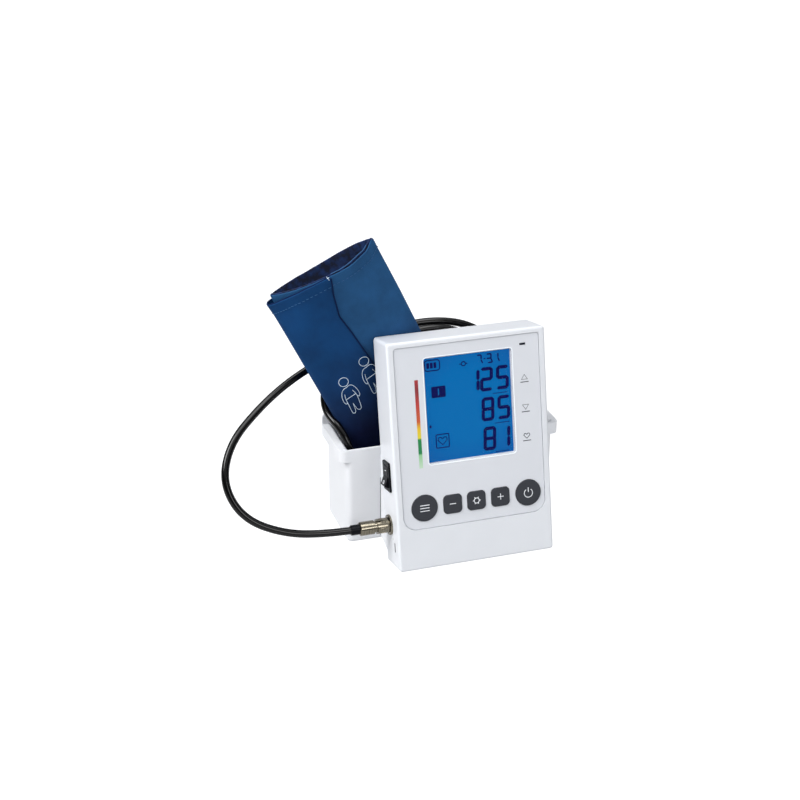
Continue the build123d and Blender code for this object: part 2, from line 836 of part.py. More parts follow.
with BuildPart() as hose_ferrule:
    with BuildSketch(side_plane.offset(flange_thickness + coupler_length)):
        with Locations(socket_place):
            Circle(ferrule_radius)
            Circle(hose_radius + shaft_gap, mode=Mode.SUBTRACT)
    extrude(amount=ferrule_length)
    ferrule_end = hose_ferrule.faces().sort_by(Axis.X)[0]
    chamfer(ferrule_end.outer_wire().edges(), coupler_chamfer / 2)
finish(hose_ferrule, "hose_ferrule")

# Charging socket with its tongue, and the lamp beside it
with BuildPart() as charging_socket:
    with BuildSketch(side_plane):
        with Locations((-charge_depth, charge_v)):
            Rectangle(charge_width, charge_length)
    extrude(amount=-charge_body)
    with BuildSketch(side_plane):
        with Locations((-charge_depth, charge_v)):
            Rectangle(charge_width - 2 * charge_shell, charge_length - 2 * charge_shell)
            Rectangle(charge_tongue, charge_tongue_length, mode=Mode.SUBTRACT)
    extrude(amount=charge_shell - charge_body, mode=Mode.SUBTRACT)
finish(charging_socket, "charging_socket")

with BuildPart() as charge_lamp:
    for start, radius, length in ((0, lamp_radius, case_wall), (case_wall, 2 * lamp_radius, lamp_radius)):
        with BuildSketch(side_plane.offset(-start)):
            with Locations((-lamp_depth, lamp_v)):
                Circle(radius)
        extrude(amount=-length)
finish(charge_lamp, "charge_lamp")

# Manifold behind the board, joined to the socket and the pump by silicone tubes
manifold_left = case_width / 2 + manifold_u - manifold_width / 2
manifold_right = manifold_left + manifold_width
pump_left = case_width / 2 + pump_u - head_width / 2
pump_port = (-socket_depth, manifold_v + pump_port_rise)
valve_foot = manifold_v + manifold_height / 2
with BuildPart() as air_manifold:
    with BuildSketch(side_plane.offset(-manifold_left)):
        with Locations((-socket_depth, manifold_v)):
            Rectangle(manifold_depth, manifold_height)
    extrude(amount=-manifold_width)
    with BuildSketch(side_plane.offset(-manifold_left)):
        with Locations(socket_place):
            Circle(barb_radius)
    extrude(amount=barb_length)
    with BuildSketch(side_plane.offset(-manifold_right)):
        with Locations(pump_port):
            Circle(barb_radius)
    extrude(amount=-barb_length)
    with BuildSketch(side_plane.offset(barb_length - manifold_left)):
        with Locations(socket_place):
            Circle(air_bore)
    extrude(amount=-barb_length - manifold_width / 2 - air_bore, mode=Mode.SUBTRACT)
    with BuildSketch(side_plane.offset(-manifold_right - barb_length)):
        with Locations(pump_port):
            Circle(air_bore)
    extrude(amount=barb_length + manifold_width / 2 + air_bore, mode=Mode.SUBTRACT)
    with BuildSketch(across(manifold_u, valve_foot, socket_depth)):
        Circle(air_bore)
    extrude(amount=case_wall - manifold_height, mode=Mode.SUBTRACT)
finish(air_manifold, "air_manifold")

for label, start, end, place in (
    ("socket_tube", socket_thread, manifold_left, socket_place),
    ("pump_tube", manifold_right, pump_left, pump_port),
):
    with BuildPart() as tube:
        with BuildSketch(side_plane.offset(-start - skin)):
            with Locations(place):
                Circle(barb_radius + tube_wall)
                Circle(barb_radius + shaft_gap, mode=Mode.SUBTRACT)
        extrude(amount=start + 2 * skin - end)
    finish(tube, label)

with BuildPart() as pressure_sensor:
    sensor_foot = socket_depth - manifold_depth / 2
    with BuildSketch(behind(sensor_foot)):
        with Locations((manifold_u, manifold_v)):
            Rectangle(sensor_side, sensor_side)
    extrude(amount=sensor_foot - board_back)
finish(pressure_sensor, "pressure_sensor")

with BuildPart() as valve_body:
    with BuildSketch(across(manifold_u, valve_foot, socket_depth)):
        Circle(valve_radius)
        Circle(plunger_radius + shaft_gap, mode=Mode.SUBTRACT)
    extrude(amount=valve_length)
    with BuildSketch(across(manifold_u, valve_foot + valve_length, socket_depth)):
        Circle(valve_radius)
    extrude(amount=-motor_shell)
finish(valve_body, "valve_body")

with BuildPart() as valve_plunger:
    with BuildSketch(across(manifold_u, valve_foot + fit_gap, socket_depth)):
        Circle(plunger_radius)
    extrude(amount=plunger_length)
    chamfer(valve_plunger.edges().filter_by(GeomType.CIRCLE), fit_gap)
finish(valve_plunger, "valve_plunger")

# Pump: head with its chamber, motor can, rotor with the crank, and the cradle under the can
head_top = head_low + head_length
with BuildPart() as pump_head:
    with BuildSketch(across(pump_u, head_low, pump_depth)):
        Rectangle(head_width, head_length)
    extrude(amount=head_length)
    with BuildSketch(across(pump_u, head_top, pump_depth)):
        Circle(head_chamber)
    extrude(amount=-chamber_length, mode=Mode.SUBTRACT)
    with BuildSketch(side_plane.offset(-pump_left)):
        with Locations(pump_port):
            Circle(barb_radius)
    extrude(amount=barb_length)
    with BuildSketch(side_plane.offset(barb_length - pump_left)):
        with Locations(pump_port):
            Circle(air_bore)
    extrude(amount=head_chamber / 2 - barb_length - head_width / 2, mode=Mode.SUBTRACT)
finish(pump_head, "pump_head")

with BuildPart() as motor_can:
    with BuildSketch(across(pump_u, head_top, pump_depth)):
        Circle(motor_radius)
        Circle(motor_radius - motor_shell, mode=Mode.SUBTRACT)
    extrude(amount=motor_length)
    for level in (head_top, head_top + motor_length - motor_shell):
        with BuildSketch(across(pump_u, level, pump_depth)):
            Circle(motor_radius)
            Circle(shaft_radius + shaft_gap, mode=Mode.SUBTRACT)
        extrude(amount=motor_shell)
finish(motor_can, "motor_can")

crank_low = head_top - chamber_length + armature_slot
with BuildPart() as pump_rotor:
    with BuildSketch(across(pump_u, crank_low, pump_depth)):
        Circle(shaft_radius)
    extrude(amount=head_top + motor_length - crank_low)
    with BuildSketch(across(pump_u, head_top + 2 * motor_shell, pump_depth)):
        Circle(armature_radius)
        with PolarLocations(armature_radius, 3):
            Rectangle(2 * armature_slot, armature_slot, mode=Mode.SUBTRACT)
    extrude(amount=motor_length - 4 * motor_shell)
    with BuildSketch(across(pump_u + crank_throw, crank_low, pump_depth)):
        Circle(crank_radius)
    extrude(amount=crank_length)
finish(pump_rotor, "pump_rotor")

with BuildPart() as pump_cradle:
    with BuildSketch(across(pump_u, head_top + motor_length / 4, pump_depth)):
        cradle_height = rear_inner - pump_depth
        with Locations((0, cradle_height / 2)):
            Rectangle(cradle_width, cradle_height)
        Circle(motor_radius + shaft_gap, mode=Mode.SUBTRACT)
    extrude(amount=motor_length / 2)
finish(pump_cradle, "pump_cradle")

# Rechargeable cells in their tray on the rear wall
tray_floor = rear_inner - tray_wall
with BuildPart() as battery_pack:
    with BuildSketch(across(0, cell_low, tray_floor - cell_radius)):
        with Locations((-cell_radius, 0), (cell_radius, 0)):
            Circle(cell_radius)
        Rectangle(2 * cell_radius, cell_radius)
    extrude(amount=cell_length)
finish(battery_pack, "battery_pack")

with BuildPart() as battery_tray:
    for depth, height, margin, mode in (
        (rear_inner, tray_height, tray_wall + skin, Mode.ADD),
        (tray_floor, 2 * cell_radius, skin, Mode.SUBTRACT),
    ):
        with BuildSketch(behind(depth)):
            with Locations((0, cell_low + cell_length / 2)):
                Rectangle(4 * cell_radius + 2 * margin, cell_length + 2 * margin)
        extrude(amount=height, mode=mode)
finish(battery_tray, "battery_tray")

# Screws that close the case, hold the wedge to it and hold the basket to the wedge
screw_wall = basket_front.offset(-basket_wall)
for label, seat, places, radius, shank, head, height in (
    (
        "case_screws",
        behind(tower_seat),
        tower_places,
        case_screw_radius,
        tower_seat - floor_back - 2 * screw_tip_gap,
        case_head_radius,
        case_head_height,
    ),
    (
        "bracket_screws",
        behind(case_depth + wedge_plate),
        bracket_places,
        screw_radius,
        wedge_plate + bracket_bite,
        head_radius,
        head_height,
    ),
    (
        "basket_screws",
        screw_wall,
        basket_places,
        screw_radius,
        basket_wall + basket_bite - skin,
        head_radius,
        head_height,
    ),
):
    with BuildPart() as screws:
        with BuildSketch(seat.offset(-height)):
            with Locations(*places):
                Circle(head)
        extrude(amount=height)
        with BuildSketch(seat):
            with Locations(*places):
                Circle(radius)
        extrude(amount=shank)
        with BuildSketch(seat.offset(-height)):
            with Locations(*places):
                RegularPolygon(radius, 6)
        extrude(amount=height / 2, mode=Mode.SUBTRACT)
    finish(screws, label)

# Cuff: a flattened roll that leans left; s runs down it from its mouth
cuff_down = Vector(sin(radians(cuff_lean)), 0, -cos(radians(cuff_lean)))
cuff_wide = Vector(cos(radians(cuff_lean)), 0, sin(radians(cuff_lean)))
cuff_mouth_centre = Vector(cuff_x, cuff_behind - basket_depth, cuff_z)
cuff_stations = [
    (0.0, cuff_mouth),
    (cuff_neck_at, cuff_neck),
    (cuff_waist_at, cuff_waist),
    (cuff_length, cuff_foot),
]
bladder_inset = cover_thickness + cuff_gap
lining_inset = bladder_inset + bladder_thickness + cuff_gap


def cuff_section(s: float) -> Plane:
    """A plane across the cuff; its X is the cuff's width and its Y faces the room."""
    return Plane(origin=cuff_mouth_centre + cuff_down * s, x_dir=cuff_wide, z_dir=cuff_down)


def cuff_loops(inset: float) -> list[Sketch]:
    """The flat rounded loops of the cuff, drawn in by the inset, for a loft."""
    loops = []
    for s, thickness in cuff_stations:
        corner = max(cuff_round * thickness - inset, cover_thickness)
        with BuildSketch(cuff_section(s)) as loop:
            RectangleRounded(cuff_width - 2 * inset, thickness - 2 * inset, corner)
        loops.append(loop.sketch)
    return loops


with BuildPart() as cuff_cover:
    loft(cuff_loops(0))
    loft(cuff_loops(cover_thickness), mode=Mode.SUBTRACT)
finish(cuff_cover, "cuff_cover")

with BuildPart() as cuff_lining:
    loft(cuff_loops(lining_inset))
    loft(cuff_loops(lining_inset + lining_thickness), mode=Mode.SUBTRACT)
finish(cuff_lining, "cuff_lining")

# The bladder lies between them, on the side that faces the room
with BuildPart() as cuff_bladder:
    loft(cuff_loops(bladder_inset))
    loft(cuff_loops(bladder_inset + bladder_thickness), mode=Mode.SUBTRACT)
    with BuildSketch(cuff_section(bladder_margin)):
        with Locations((0, cuff_mouth / 2)):
            Rectangle(cuff_width * bladder_share, cuff_mouth)
    extrude(amount=cuff_length - 2 * bladder_margin, mode=Mode.INTERSECT)
finish(cuff_bladder, "cuff_bladder")

# The closing flap wraps the left edge from the back to the front
with BuildPart() as cuff_flap:
    loft(cuff_loops(-flap_gap - flap_thickness))
    loft(cuff_loops(-flap_gap), mode=Mode.SUBTRACT)
    with BuildSketch(cuff_section(0)):
        with Locations((-cuff_width / 2, 0)):
            Rectangle(2 * flap_width, 2 * cuff_mouth)
    extrude(amount=cuff_length - flap_tail, mode=Mode.INTERSECT)
finish(cuff_flap, "cuff_flap")

# Air port: a tongue against the foot of the bladder and a barrel for the hose
port_side = cuff_foot / 2 - bladder_inset - bladder_thickness / 2
tongue_end = cuff_length + port_start
with BuildPart() as cuff_port:
    with BuildSketch(cuff_section(cuff_length - bladder_margin)):
        with Locations((0, port_side)):
            Rectangle(port_width, port_tongue)
    extrude(amount=bladder_margin + 2 * port_start)
    with BuildSketch(cuff_section(tongue_end)):
        with Locations((0, port_side)):
            Circle(port_radius)
    extrude(amount=port_length)
    with BuildSketch(cuff_section(tongue_end + port_length)):
        with Locations((0, port_side)):
            Circle(hose_radius + shaft_gap)
    extrude(amount=-port_grip, mode=Mode.SUBTRACT)
finish(cuff_port, "cuff_port")

# Hose: a free bow over the rim, up behind the cuff, one full loop in the basket and round to the port
port_axis = cuff_mouth_centre + Vector(0, -port_side, 0)
hose_end_s = tongue_end + port_length - port_grip
hose_start = side_plane.from_local_coords((*socket_place, flange_thickness + coupler_length))
hose_points = [
    hose_start,
    hose_start + Vector(-hose_lead, 0, 0),
    Vector(-166, -95, -12),
    Vector(-202, -89, 6),
    Vector(-216, -75, 36),
    Vector(-204, -56, 64),
    Vector(-175, -39, 85),
    Vector(-141, -19, 100),
    Vector(-104, -8.5, 113),
    Vector(-58, -7.2, 131),
    Vector(-4, -7.2, 140),
    Vector(44, -7.4, 128),
    Vector(76, -8, 90),
    Vector(83, -9, 40),
    Vector(68, -12, -12),
    Vector(26, -19, -42),
    Vector(-26, -30, -44),
    Vector(-66, -45, -36),
    Vector(-85, -54, -7),
    Vector(-89.5, -51.5, 29),
    Vector(-98, -44, 56),
    Vector(-110, -20, 69),
    Vector(-104, -12.6, 96),
    Vector(-76, -13, 116),
    Vector(-40, -14.6, 129),
    Vector(4, -14.6, 136),
    Vector(44, -15.5, 117),
    Vector(68, -17, 76),
    Vector(73, -20, 30),
    Vector(68, -25, -14),
    Vector(48, -31, -40),
    Vector(16, -37, -42.5),
    port_axis + cuff_down * (hose_end_s + hose_foot_run) + Vector(2.5, 0.3, -1),
    port_axis + cuff_down * (hose_end_s + hose_foot_lead),
    port_axis + cuff_down * hose_end_s,
]
hose_bends = []
for a, b, c in zip(hose_points, hose_points[1:], hose_points[2:]):
    turn = acos(max(-1.0, min(1.0, (b - a).normalized().dot((c - b).normalized()))))
    hose_bends.append(bend_share * min((b - a).length, (c - b).length) / tan(turn / 2))
with BuildPart() as air_hose:
    with BuildLine() as hose_route:
        FilletPolyline(*hose_points, radius=hose_bends)
    with BuildSketch(Plane(origin=hose_start, z_dir=(-1, 0, 0))):
        Circle(hose_radius)
        Circle(hose_bore, mode=Mode.SUBTRACT)
    sweep()
finish(air_hose, "air_hose")
ring_area = pi * (hose_radius**2 - hose_bore**2)
hose_wire = hose_route.wires()[0]
hose_length = hose_wire.length
hose_share = air_hose.part.volume / ring_area / hose_length
apart = round(hose_samples * 12 * hose_radius / hose_length)
along_hose = [hose_wire @ (k / hose_samples) for k in range(hose_samples + 1)]
hose_gap = min((a - b).length for i, a in enumerate(along_hose) for b in along_hose[i + apart :])
print("hose bends", [round(bend, 1) for bend in hose_bends])
print("hose length", round(hose_length), "volume over section times length", round(hose_share, 4))
print("least gap of the hose to itself", round(hose_gap - 2 * hose_radius, 2))
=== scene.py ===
"""Wall-mounted blood pressure monitor: its finishes, cloth cuff, hose, printed marks and studio.

Metres. X runs along the wall, Y into it and Z up; the origin is the middle of the four wall screws.
"""
import logging
import math
from collections.abc import Callable, Iterable, Sequence
from dataclasses import dataclass, field
from enum import Enum

import bmesh
import bpy
from mathutils import Matrix, Vector, noise


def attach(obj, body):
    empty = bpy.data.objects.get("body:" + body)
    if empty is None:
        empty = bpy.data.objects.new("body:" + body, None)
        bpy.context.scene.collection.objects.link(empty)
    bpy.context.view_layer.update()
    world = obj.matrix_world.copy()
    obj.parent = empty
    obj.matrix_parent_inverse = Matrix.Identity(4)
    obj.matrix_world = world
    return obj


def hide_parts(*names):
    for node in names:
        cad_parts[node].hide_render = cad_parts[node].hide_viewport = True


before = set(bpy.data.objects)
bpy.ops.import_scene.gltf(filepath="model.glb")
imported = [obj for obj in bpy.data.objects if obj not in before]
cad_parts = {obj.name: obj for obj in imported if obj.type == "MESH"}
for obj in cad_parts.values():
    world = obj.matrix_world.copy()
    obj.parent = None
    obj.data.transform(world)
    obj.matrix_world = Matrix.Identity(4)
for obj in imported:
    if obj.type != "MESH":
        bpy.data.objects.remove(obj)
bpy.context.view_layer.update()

LOG = logging.getLogger("monitor")
MM = 0.001
# Thickness of a plate that only shows its colour, in metres
FILM = 0.00003
Point = tuple[float, float]
Triple = tuple[float, float, float]
Row = tuple[float, ...]
Colour = Triple
Stops = Sequence[tuple[float, Colour]]
Piece = bpy.types.Object
Socket = bpy.types.NodeSocket


def tint(red: int, green: int, blue: int) -> Colour:
    """Turns a screen colour into Blender's linear colour.

    Args:
        red: Its red, 0 to 255.
        green: Its green.
        blue: Its blue.

    Returns:
        The linear colour.
    """
    parts = []
    for level in (red / 255, green / 255, blue / 255):
        parts.append(level / 12.92 if level <= 0.04045 else ((level + 0.055) / 1.055) ** 2.4)
    return parts[0], parts[1], parts[2]


def shift(x: float, y: float, z: float = 0.0) -> Matrix:
    """A move by so many millimetres."""
    return Matrix.Translation((x * MM, y * MM, z * MM))


def axes(
    origin: Sequence[float], along: Sequence[float], up: Sequence[float], out: Sequence[float]
) -> Matrix:
    """The matrix of a local frame.

    Args:
        origin: Its origin in millimetres.
        along: Direction of its X.
        up: Direction of its Y.
        out: Direction of its Z.

    Returns:
        The matrix that takes the frame's metres to the object's.
    """
    turn = Matrix((along, up, out)).transposed().to_4x4()
    return Matrix.Translation(Vector(origin) * MM) @ turn


CASE_WIDTH, CASE_DEPTH, CASE_MIDDLE = 148.0, 40.0, 5.0
# Y and Z of the top line of the wedge bracket, which meets the case's back CASE_DROP above its foot
WEDGE_FRONT, WEDGE_TOP, CASE_DROP = -64.0, 46.0, 108.7
TILT = math.radians(12.0)
LEAN, RISE = math.sin(TILT), math.cos(TILT)
# The case's own frame: X across it from its middle, Y up its face from its foot, Z out of its face
CASE_FOOT = (
    CASE_MIDDLE,
    WEDGE_FRONT - CASE_DROP * LEAN - CASE_DEPTH * RISE,
    WEDGE_TOP - CASE_DROP * RISE + CASE_DEPTH * LEAN,
)
CASE_FRAME = axes(CASE_FOOT, (1, 0, 0), (0, LEAN, RISE), (0, -RISE, LEAN))
# The frame of its left side: X towards the room from the front edge, Y up, Z out to the left
SIDE_FOOT = (CASE_MIDDLE - CASE_WIDTH / 2, *CASE_FOOT[1:])
SIDE_FRAME = axes(SIDE_FOOT, (0, -RISE, LEAN), (0, LEAN, RISE), (-1, 0, 0))


class Shader:
    """One material: a principled shader and the nodes of the patterns that feed it."""

    def __init__(self, name: str, roughness: float, metallic: float = 0.0) -> None:
        """Starts a material with one principled shader.

        Args:
            name: The material's name.
            roughness: Roughness of the shader.
            metallic: 1 for a metal.
        """
        self.material = bpy.data.materials.new(name)
        self.material.use_nodes = True
        self.tree = self.material.node_tree
        self.skin = self.tree.nodes["Principled BSDF"]
        self.put(self.skin, Roughness=roughness, Metallic=metallic)

    def put(self, node: bpy.types.Node, **values: object) -> bpy.types.Node:
        """Sets a node's sockets by name.

        Args:
            node: The node.
            values: The values by socket name; an underscore stands for a space.

        Returns:
            The node.
        """
        for name, value in values.items():
            node.inputs[name.replace("_", " ")].default_value = value
        return node

    def add(self, kind: str, **values: object) -> bpy.types.Node:
        """Adds a node and sets its sockets. Returns the node."""
        return self.put(self.tree.nodes.new(kind), **values)

    def wire(self, source: Socket, target: Socket) -> None:
        """Links two sockets."""
        self.tree.links.new(source, target)

    def reckon(self, operation: str, *terms: Socket | float) -> Socket:
        """Works out a value with a math node.

        Args:
            operation: The node's operation.
            terms: Sockets or plain numbers, in the order of the node's own sockets.

        Returns:
            The socket of the result.
        """
        node = self.add("ShaderNodeMath")
        node.operation = operation
        for term, socket in zip(terms, node.inputs):
            if isinstance(term, float):
                socket.default_value = term
            else:
                self.wire(term, socket)
        return node.outputs["Value"]

    def place(self, local: Matrix | None = None, stretch: Sequence[float] = (1, 1, 1)) -> Socket:
        """Object coordinates, in a local frame if one is given.

        Args:
            local: A local frame that the pattern lies in.
            stretch: Scale of the pattern on each axis.

        Returns:
            The vector socket to feed to a pattern.
        """
        source = self.add("ShaderNodeTexCoord").outputs["Object"]
        if local is not None:
            back = local.inverted()
            mapping = self.add("ShaderNodeMapping", Location=back.to_translation(), Rotation=back.to_euler())
            self.wire(source, mapping.inputs["Vector"])
            source = mapping.outputs["Vector"]
        scaled = self.add("ShaderNodeMapping", Scale=stretch)
        self.wire(source, scaled.inputs["Vector"])
        return scaled.outputs["Vector"]

    def climb(self, vector: Socket, low: float, high: float) -> Socket:
        """How far a vector's Y has come from low to high.

        Args:
            vector: Socket of the vector.
            low: The Y that gives 0.
            high: The Y that gives 1.

        Returns:
            The socket of the share.
        """
        split = self.add("ShaderNodeSeparateXYZ")
        self.wire(vector, split.inputs["Vector"])
        share = self.add("ShaderNodeMapRange", From_Min=low, From_Max=high)
        self.wire(split.outputs["Y"], share.inputs["Value"])
        return share.outputs["Result"]

    def grain(self, vector: Socket, size: float, detail: float = 2.0) -> Socket:
        """A noise pattern.

        Args:
            vector: Socket of the place.
            size: About the size of its features in metres.
            detail: How many finer layers lie over it.

        Returns:
            The socket of its value.
        """
        pattern = self.add("ShaderNodeTexNoise", Scale=1.0 / size, Detail=detail, Roughness=0.55)
        self.wire(vector, pattern.inputs["Vector"])
        return pattern.outputs["Fac"]

    def ramp(self, value: Socket, stops: Stops, target: Socket | None = None) -> None:
        """Colours a value by stops.

        Args:
            value: The pattern's value.
            stops: Places from 0 to 1 with their colours.
            target: The socket that takes the colour, or none for the surface's own colour.
        """
        node = self.add("ShaderNodeValToRGB")
        band = node.color_ramp
        while len(band.elements) < len(stops):
            band.elements.new(0.5)
        for element, (place, colour) in zip(band.elements, stops):
            element.position = place
            element.color = (*colour, 1.0)
        self.wire(value, node.inputs["Fac"])
        self.wire(node.outputs["Color"], self.skin.inputs["Base Color"] if target is None else target)

    def spread(self, value: Socket, low: float, high: float, target: Socket | None = None) -> None:
        """Spreads a value between two levels and feeds it to a socket.

        Args:
            value: The pattern's value.
            low: What 0 becomes.
            high: What 1 becomes.
            target: The socket that takes it, or none for the surface's roughness.
        """
        node = self.add("ShaderNodeMapRange", To_Min=low, To_Max=high)
        self.wire(value, node.inputs["Value"])
        self.wire(node.outputs["Result"], self.skin.inputs["Roughness"] if target is None else target)

    def relief(self, height: Socket, depth: float) -> None:
        """Makes the surface rise and fall by a pattern.

        Args:
            height: The pattern's value.
            depth: Height of the relief in metres.
        """
        bump = self.add("ShaderNodeBump", Distance=depth)
        self.wire(height, bump.inputs["Height"])
        self.wire(bump.outputs["Normal"], self.skin.inputs["Normal"])

    def texture(self, pattern: Socket, low: float, high: float, depth: float) -> bpy.types.Material:
        """Lets a pattern give the surface its roughness and its relief, which finishes the material.

        Args:
            pattern: The pattern's value.
            low: Lowest roughness.
            high: Highest roughness.
            depth: Height of the relief in metres.

        Returns:
            The material.
        """
        self.spread(pattern, low, high)
        self.relief(pattern, depth)
        return self.material


def shade(colour: Colour, share: float) -> Colour:
    """A colour darkened or lightened by a share of itself."""
    return colour[0] * share, colour[1] * share, colour[2] * share


@dataclass(frozen=True)
class Plastic:
    """Moulded plastic or rubber with a fine grain and slightly uneven gloss."""

    name: str
    colour: Colour
    roughness: float = 0.45
    grain_size: float = 0.0006
    grain_depth: float = 0.00001
    unevenness: float = 0.03
    shine: float = 0.5
    cloud_size: float = 0.03

    def material(self) -> bpy.types.Material:
        """Builds the material.

        Returns:
            The material.
        """
        shader = Shader(self.name, self.roughness)
        shader.put(shader.skin, Specular_IOR_Level=self.shine)
        place = shader.place()
        stops = [(0.3, shade(self.colour, 1 - self.unevenness)), (0.7, self.colour)]
        shader.ramp(shader.grain(place, self.cloud_size), stops)
        fine = shader.grain(place, self.grain_size, 3.0)
        return shader.texture(fine, self.roughness * 0.9, self.roughness * 1.12, self.grain_depth)


@dataclass(frozen=True)
class Metal:
    """Plated or bare metal with fine turned lines across one axis."""

    name: str
    colour: Colour
    roughness: float
    line_stretch: Triple
    dark_share: float = 0.75
    line_size: float = 0.008
    line_depth: float = 0.000006

    def material(self) -> bpy.types.Material:
        """Builds the material.

        Returns:
            The material.
        """
        shader = Shader(self.name, self.roughness, 1.0)
        lines = shader.grain(shader.place(stretch=self.line_stretch), self.line_size, 4.0)
        shader.ramp(lines, [(0.4, shade(self.colour, self.dark_share)), (0.6, self.colour)])
        return shader.texture(lines, self.roughness * 0.8, self.roughness * 1.3, self.line_depth)


@dataclass(frozen=True)
class Weave:
    """Woven nylon that follows the piece's own UV map, laid out in metres, with a painted shade that darkens
    it down its length towards the cuff's foot.
    """

    name: str
    colour: Colour
    pitch: float = 0.0005
    depth: float = 0.00006
    roughness: float = 0.62
    sheen: float = 0.08
    yarn_share: float = 0.35
    cloud_size: float = 0.025
    # Where down the UV map the painted shade starts and where it is full, and its tint: painted shade for the
    # shadow on the cuff's foot in the basket
    painted_foot_shade: Point = (0.07, 0.155)
    foot_shade_tint: Colour = (0.8, 0.16, 0.25)

    def material(self) -> bpy.types.Material:
        """Builds the material.

        Returns:
            The material.
        """
        shader = Shader(self.name, self.roughness)
        shader.put(shader.skin, Sheen_Weight=self.sheen, Sheen_Roughness=0.4, Specular_IOR_Level=0.12)
        shader.put(shader.skin, Sheen_Tint=(*shade(self.colour, 3.0), 1.0))
        uv = shader.add("ShaderNodeTexCoord").outputs["UV"]
        scale = math.pi / (10 * self.pitch)
        yarns = []
        for direction in ("X", "Y"):
            wave = shader.add("ShaderNodeTexWave", Scale=scale, Distortion=0.6, Detail=1.0)
            wave.bands_direction = direction
            shader.wire(uv, wave.inputs["Vector"])
            yarns.append(wave.outputs["Fac"])
        cross = shader.reckon("MULTIPLY", *yarns)
        cloud = shader.grain(shader.place(), self.cloud_size, 4.0)
        blend = shader.reckon("MULTIPLY_ADD", cross, self.yarn_share, cloud)
        tinted = shader.add("ShaderNodeVectorMath")
        tinted.operation = "MULTIPLY"
        stops = [(0.3, shade(self.colour, 0.72)), (0.62, self.colour), (0.95, shade(self.colour, 1.25))]
        shader.ramp(blend, stops, tinted.inputs[0])
        # Painted shade: the colour darkens towards the cuff's foot, standing in for the shadow there
        painted_foot_shade = [(0.0, (1.0, 1.0, 1.0)), (1.0, self.foot_shade_tint)]
        shader.ramp(shader.climb(uv, *self.painted_foot_shade), painted_foot_shade, tinted.inputs[1])
        shader.wire(tinted.outputs["Vector"], shader.skin.inputs["Base Color"])
        shader.spread(blend, self.roughness, self.roughness + 0.2)
        shader.relief(cross, self.depth)
        return shader.material


@dataclass(frozen=True)
class Pile:
    """Brushed loop cloth, mottled where the pile lies over."""

    name: str
    colour: Colour
    light: Colour
    patch_size: float = 0.006
    loop_size: float = 0.0009
    depth: float = 0.0004

    def material(self) -> bpy.types.Material:
        """Builds the material.

        Returns:
            The material.
        """
        shader = Shader(self.name, 0.95)
        shader.put(shader.skin, Sheen_Weight=0.3, Sheen_Roughness=0.5, Sheen_Tint=(*self.light, 1.0))
        place = shader.place()
        crush = shader.grain(place, self.patch_size, 5.0)
        shader.ramp(crush, [(0.42, self.colour), (0.66, self.light)])
        shader.spread(crush, 0.85, 1.0)
        shader.relief(shader.grain(place, self.loop_size), self.depth)
        return shader.material


@dataclass(frozen=True)
class Glow:
    """A surface lit from behind, with its colour falling off from one place on it."""

    name: str
    middle: Colour
    edge: Colour
    place: Matrix
    half_width: float
    strength: float = 1.0
    shine: float = 0.5
    fall_off: float = 0.62

    def material(self) -> bpy.types.Material:
        """Builds the material.

        Returns:
            The material.
        """
        shader = Shader(self.name, 0.35)
        shader.put(shader.skin, Specular_IOR_Level=self.shine, Emission_Strength=self.strength)
        fine = shader.grain(shader.place(), 0.0006)
        shader.ramp(fine, [(0.3, shade(self.edge, 0.08)), (0.7, shade(self.edge, 0.1))])
        ball = shader.add("ShaderNodeTexGradient")
        ball.gradient_type = "SPHERICAL"
        across = self.fall_off / self.half_width
        shader.wire(shader.place(self.place, (across, across, across)), ball.inputs["Vector"])
        stops = [(0.05, self.edge), (0.6, self.middle)]
        shader.ramp(ball.outputs["Fac"], stops, shader.skin.inputs["Emission Color"])
        return shader.texture(fine, 0.32, 0.4, 0.000003)


@dataclass(frozen=True)
class Bands:
    """Printed colours that change up the case, with a light screen grain."""

    name: str
    low: float
    high: float
    stops: Stops

    def material(self) -> bpy.types.Material:
        """Builds the material.

        Returns:
            The material.
        """
        shader = Shader(self.name, 0.42)
        vector = shader.place(CASE_FRAME)
        shader.ramp(shader.climb(vector, self.low, self.high), self.stops)
        return shader.texture(shader.grain(vector, 0.0005), 0.38, 0.48, 0.000005)


@dataclass(frozen=True)
class Clear:
    """A clear plastic lens that mostly shows what is behind it."""

    name: str
    colour: Colour
    cover: float

    def material(self) -> bpy.types.Material:
        """Builds the material.

        Returns:
            The material.
        """
        shader = Shader(self.name, 0.06)
        shader.put(shader.skin, Alpha=self.cover, IOR=1.49)
        cloud = shader.grain(shader.place(), 0.02)
        shader.ramp(cloud, [(0.3, shade(self.colour, 0.8)), (0.7, self.colour)])
        return shader.texture(cloud, 0.04, 0.09, 0.000004)


@dataclass(frozen=True)
class Board:
    """Solder mask with fine copper runs under it."""

    name: str
    mask: Colour
    copper: Colour

    def material(self) -> bpy.types.Material:
        """Builds the material.

        Returns:
            The material.
        """
        shader = Shader(self.name, 0.35)
        runs = shader.add("ShaderNodeTexBrick", Scale=1.0, Mortar_Size=0.0004)
        shader.put(runs, Brick_Width=0.009, Row_Height=0.0025, Mortar=(*self.copper, 1.0))
        shader.put(runs, Color1=(*self.mask, 1.0), Color2=(*shade(self.mask, 0.8), 1.0))
        shader.wire(shader.place(CASE_FRAME), runs.inputs["Vector"])
        shader.wire(runs.outputs["Color"], shader.skin.inputs["Base Color"])
        return shader.texture(runs.outputs["Fac"], 0.32, 0.5, 0.00003)


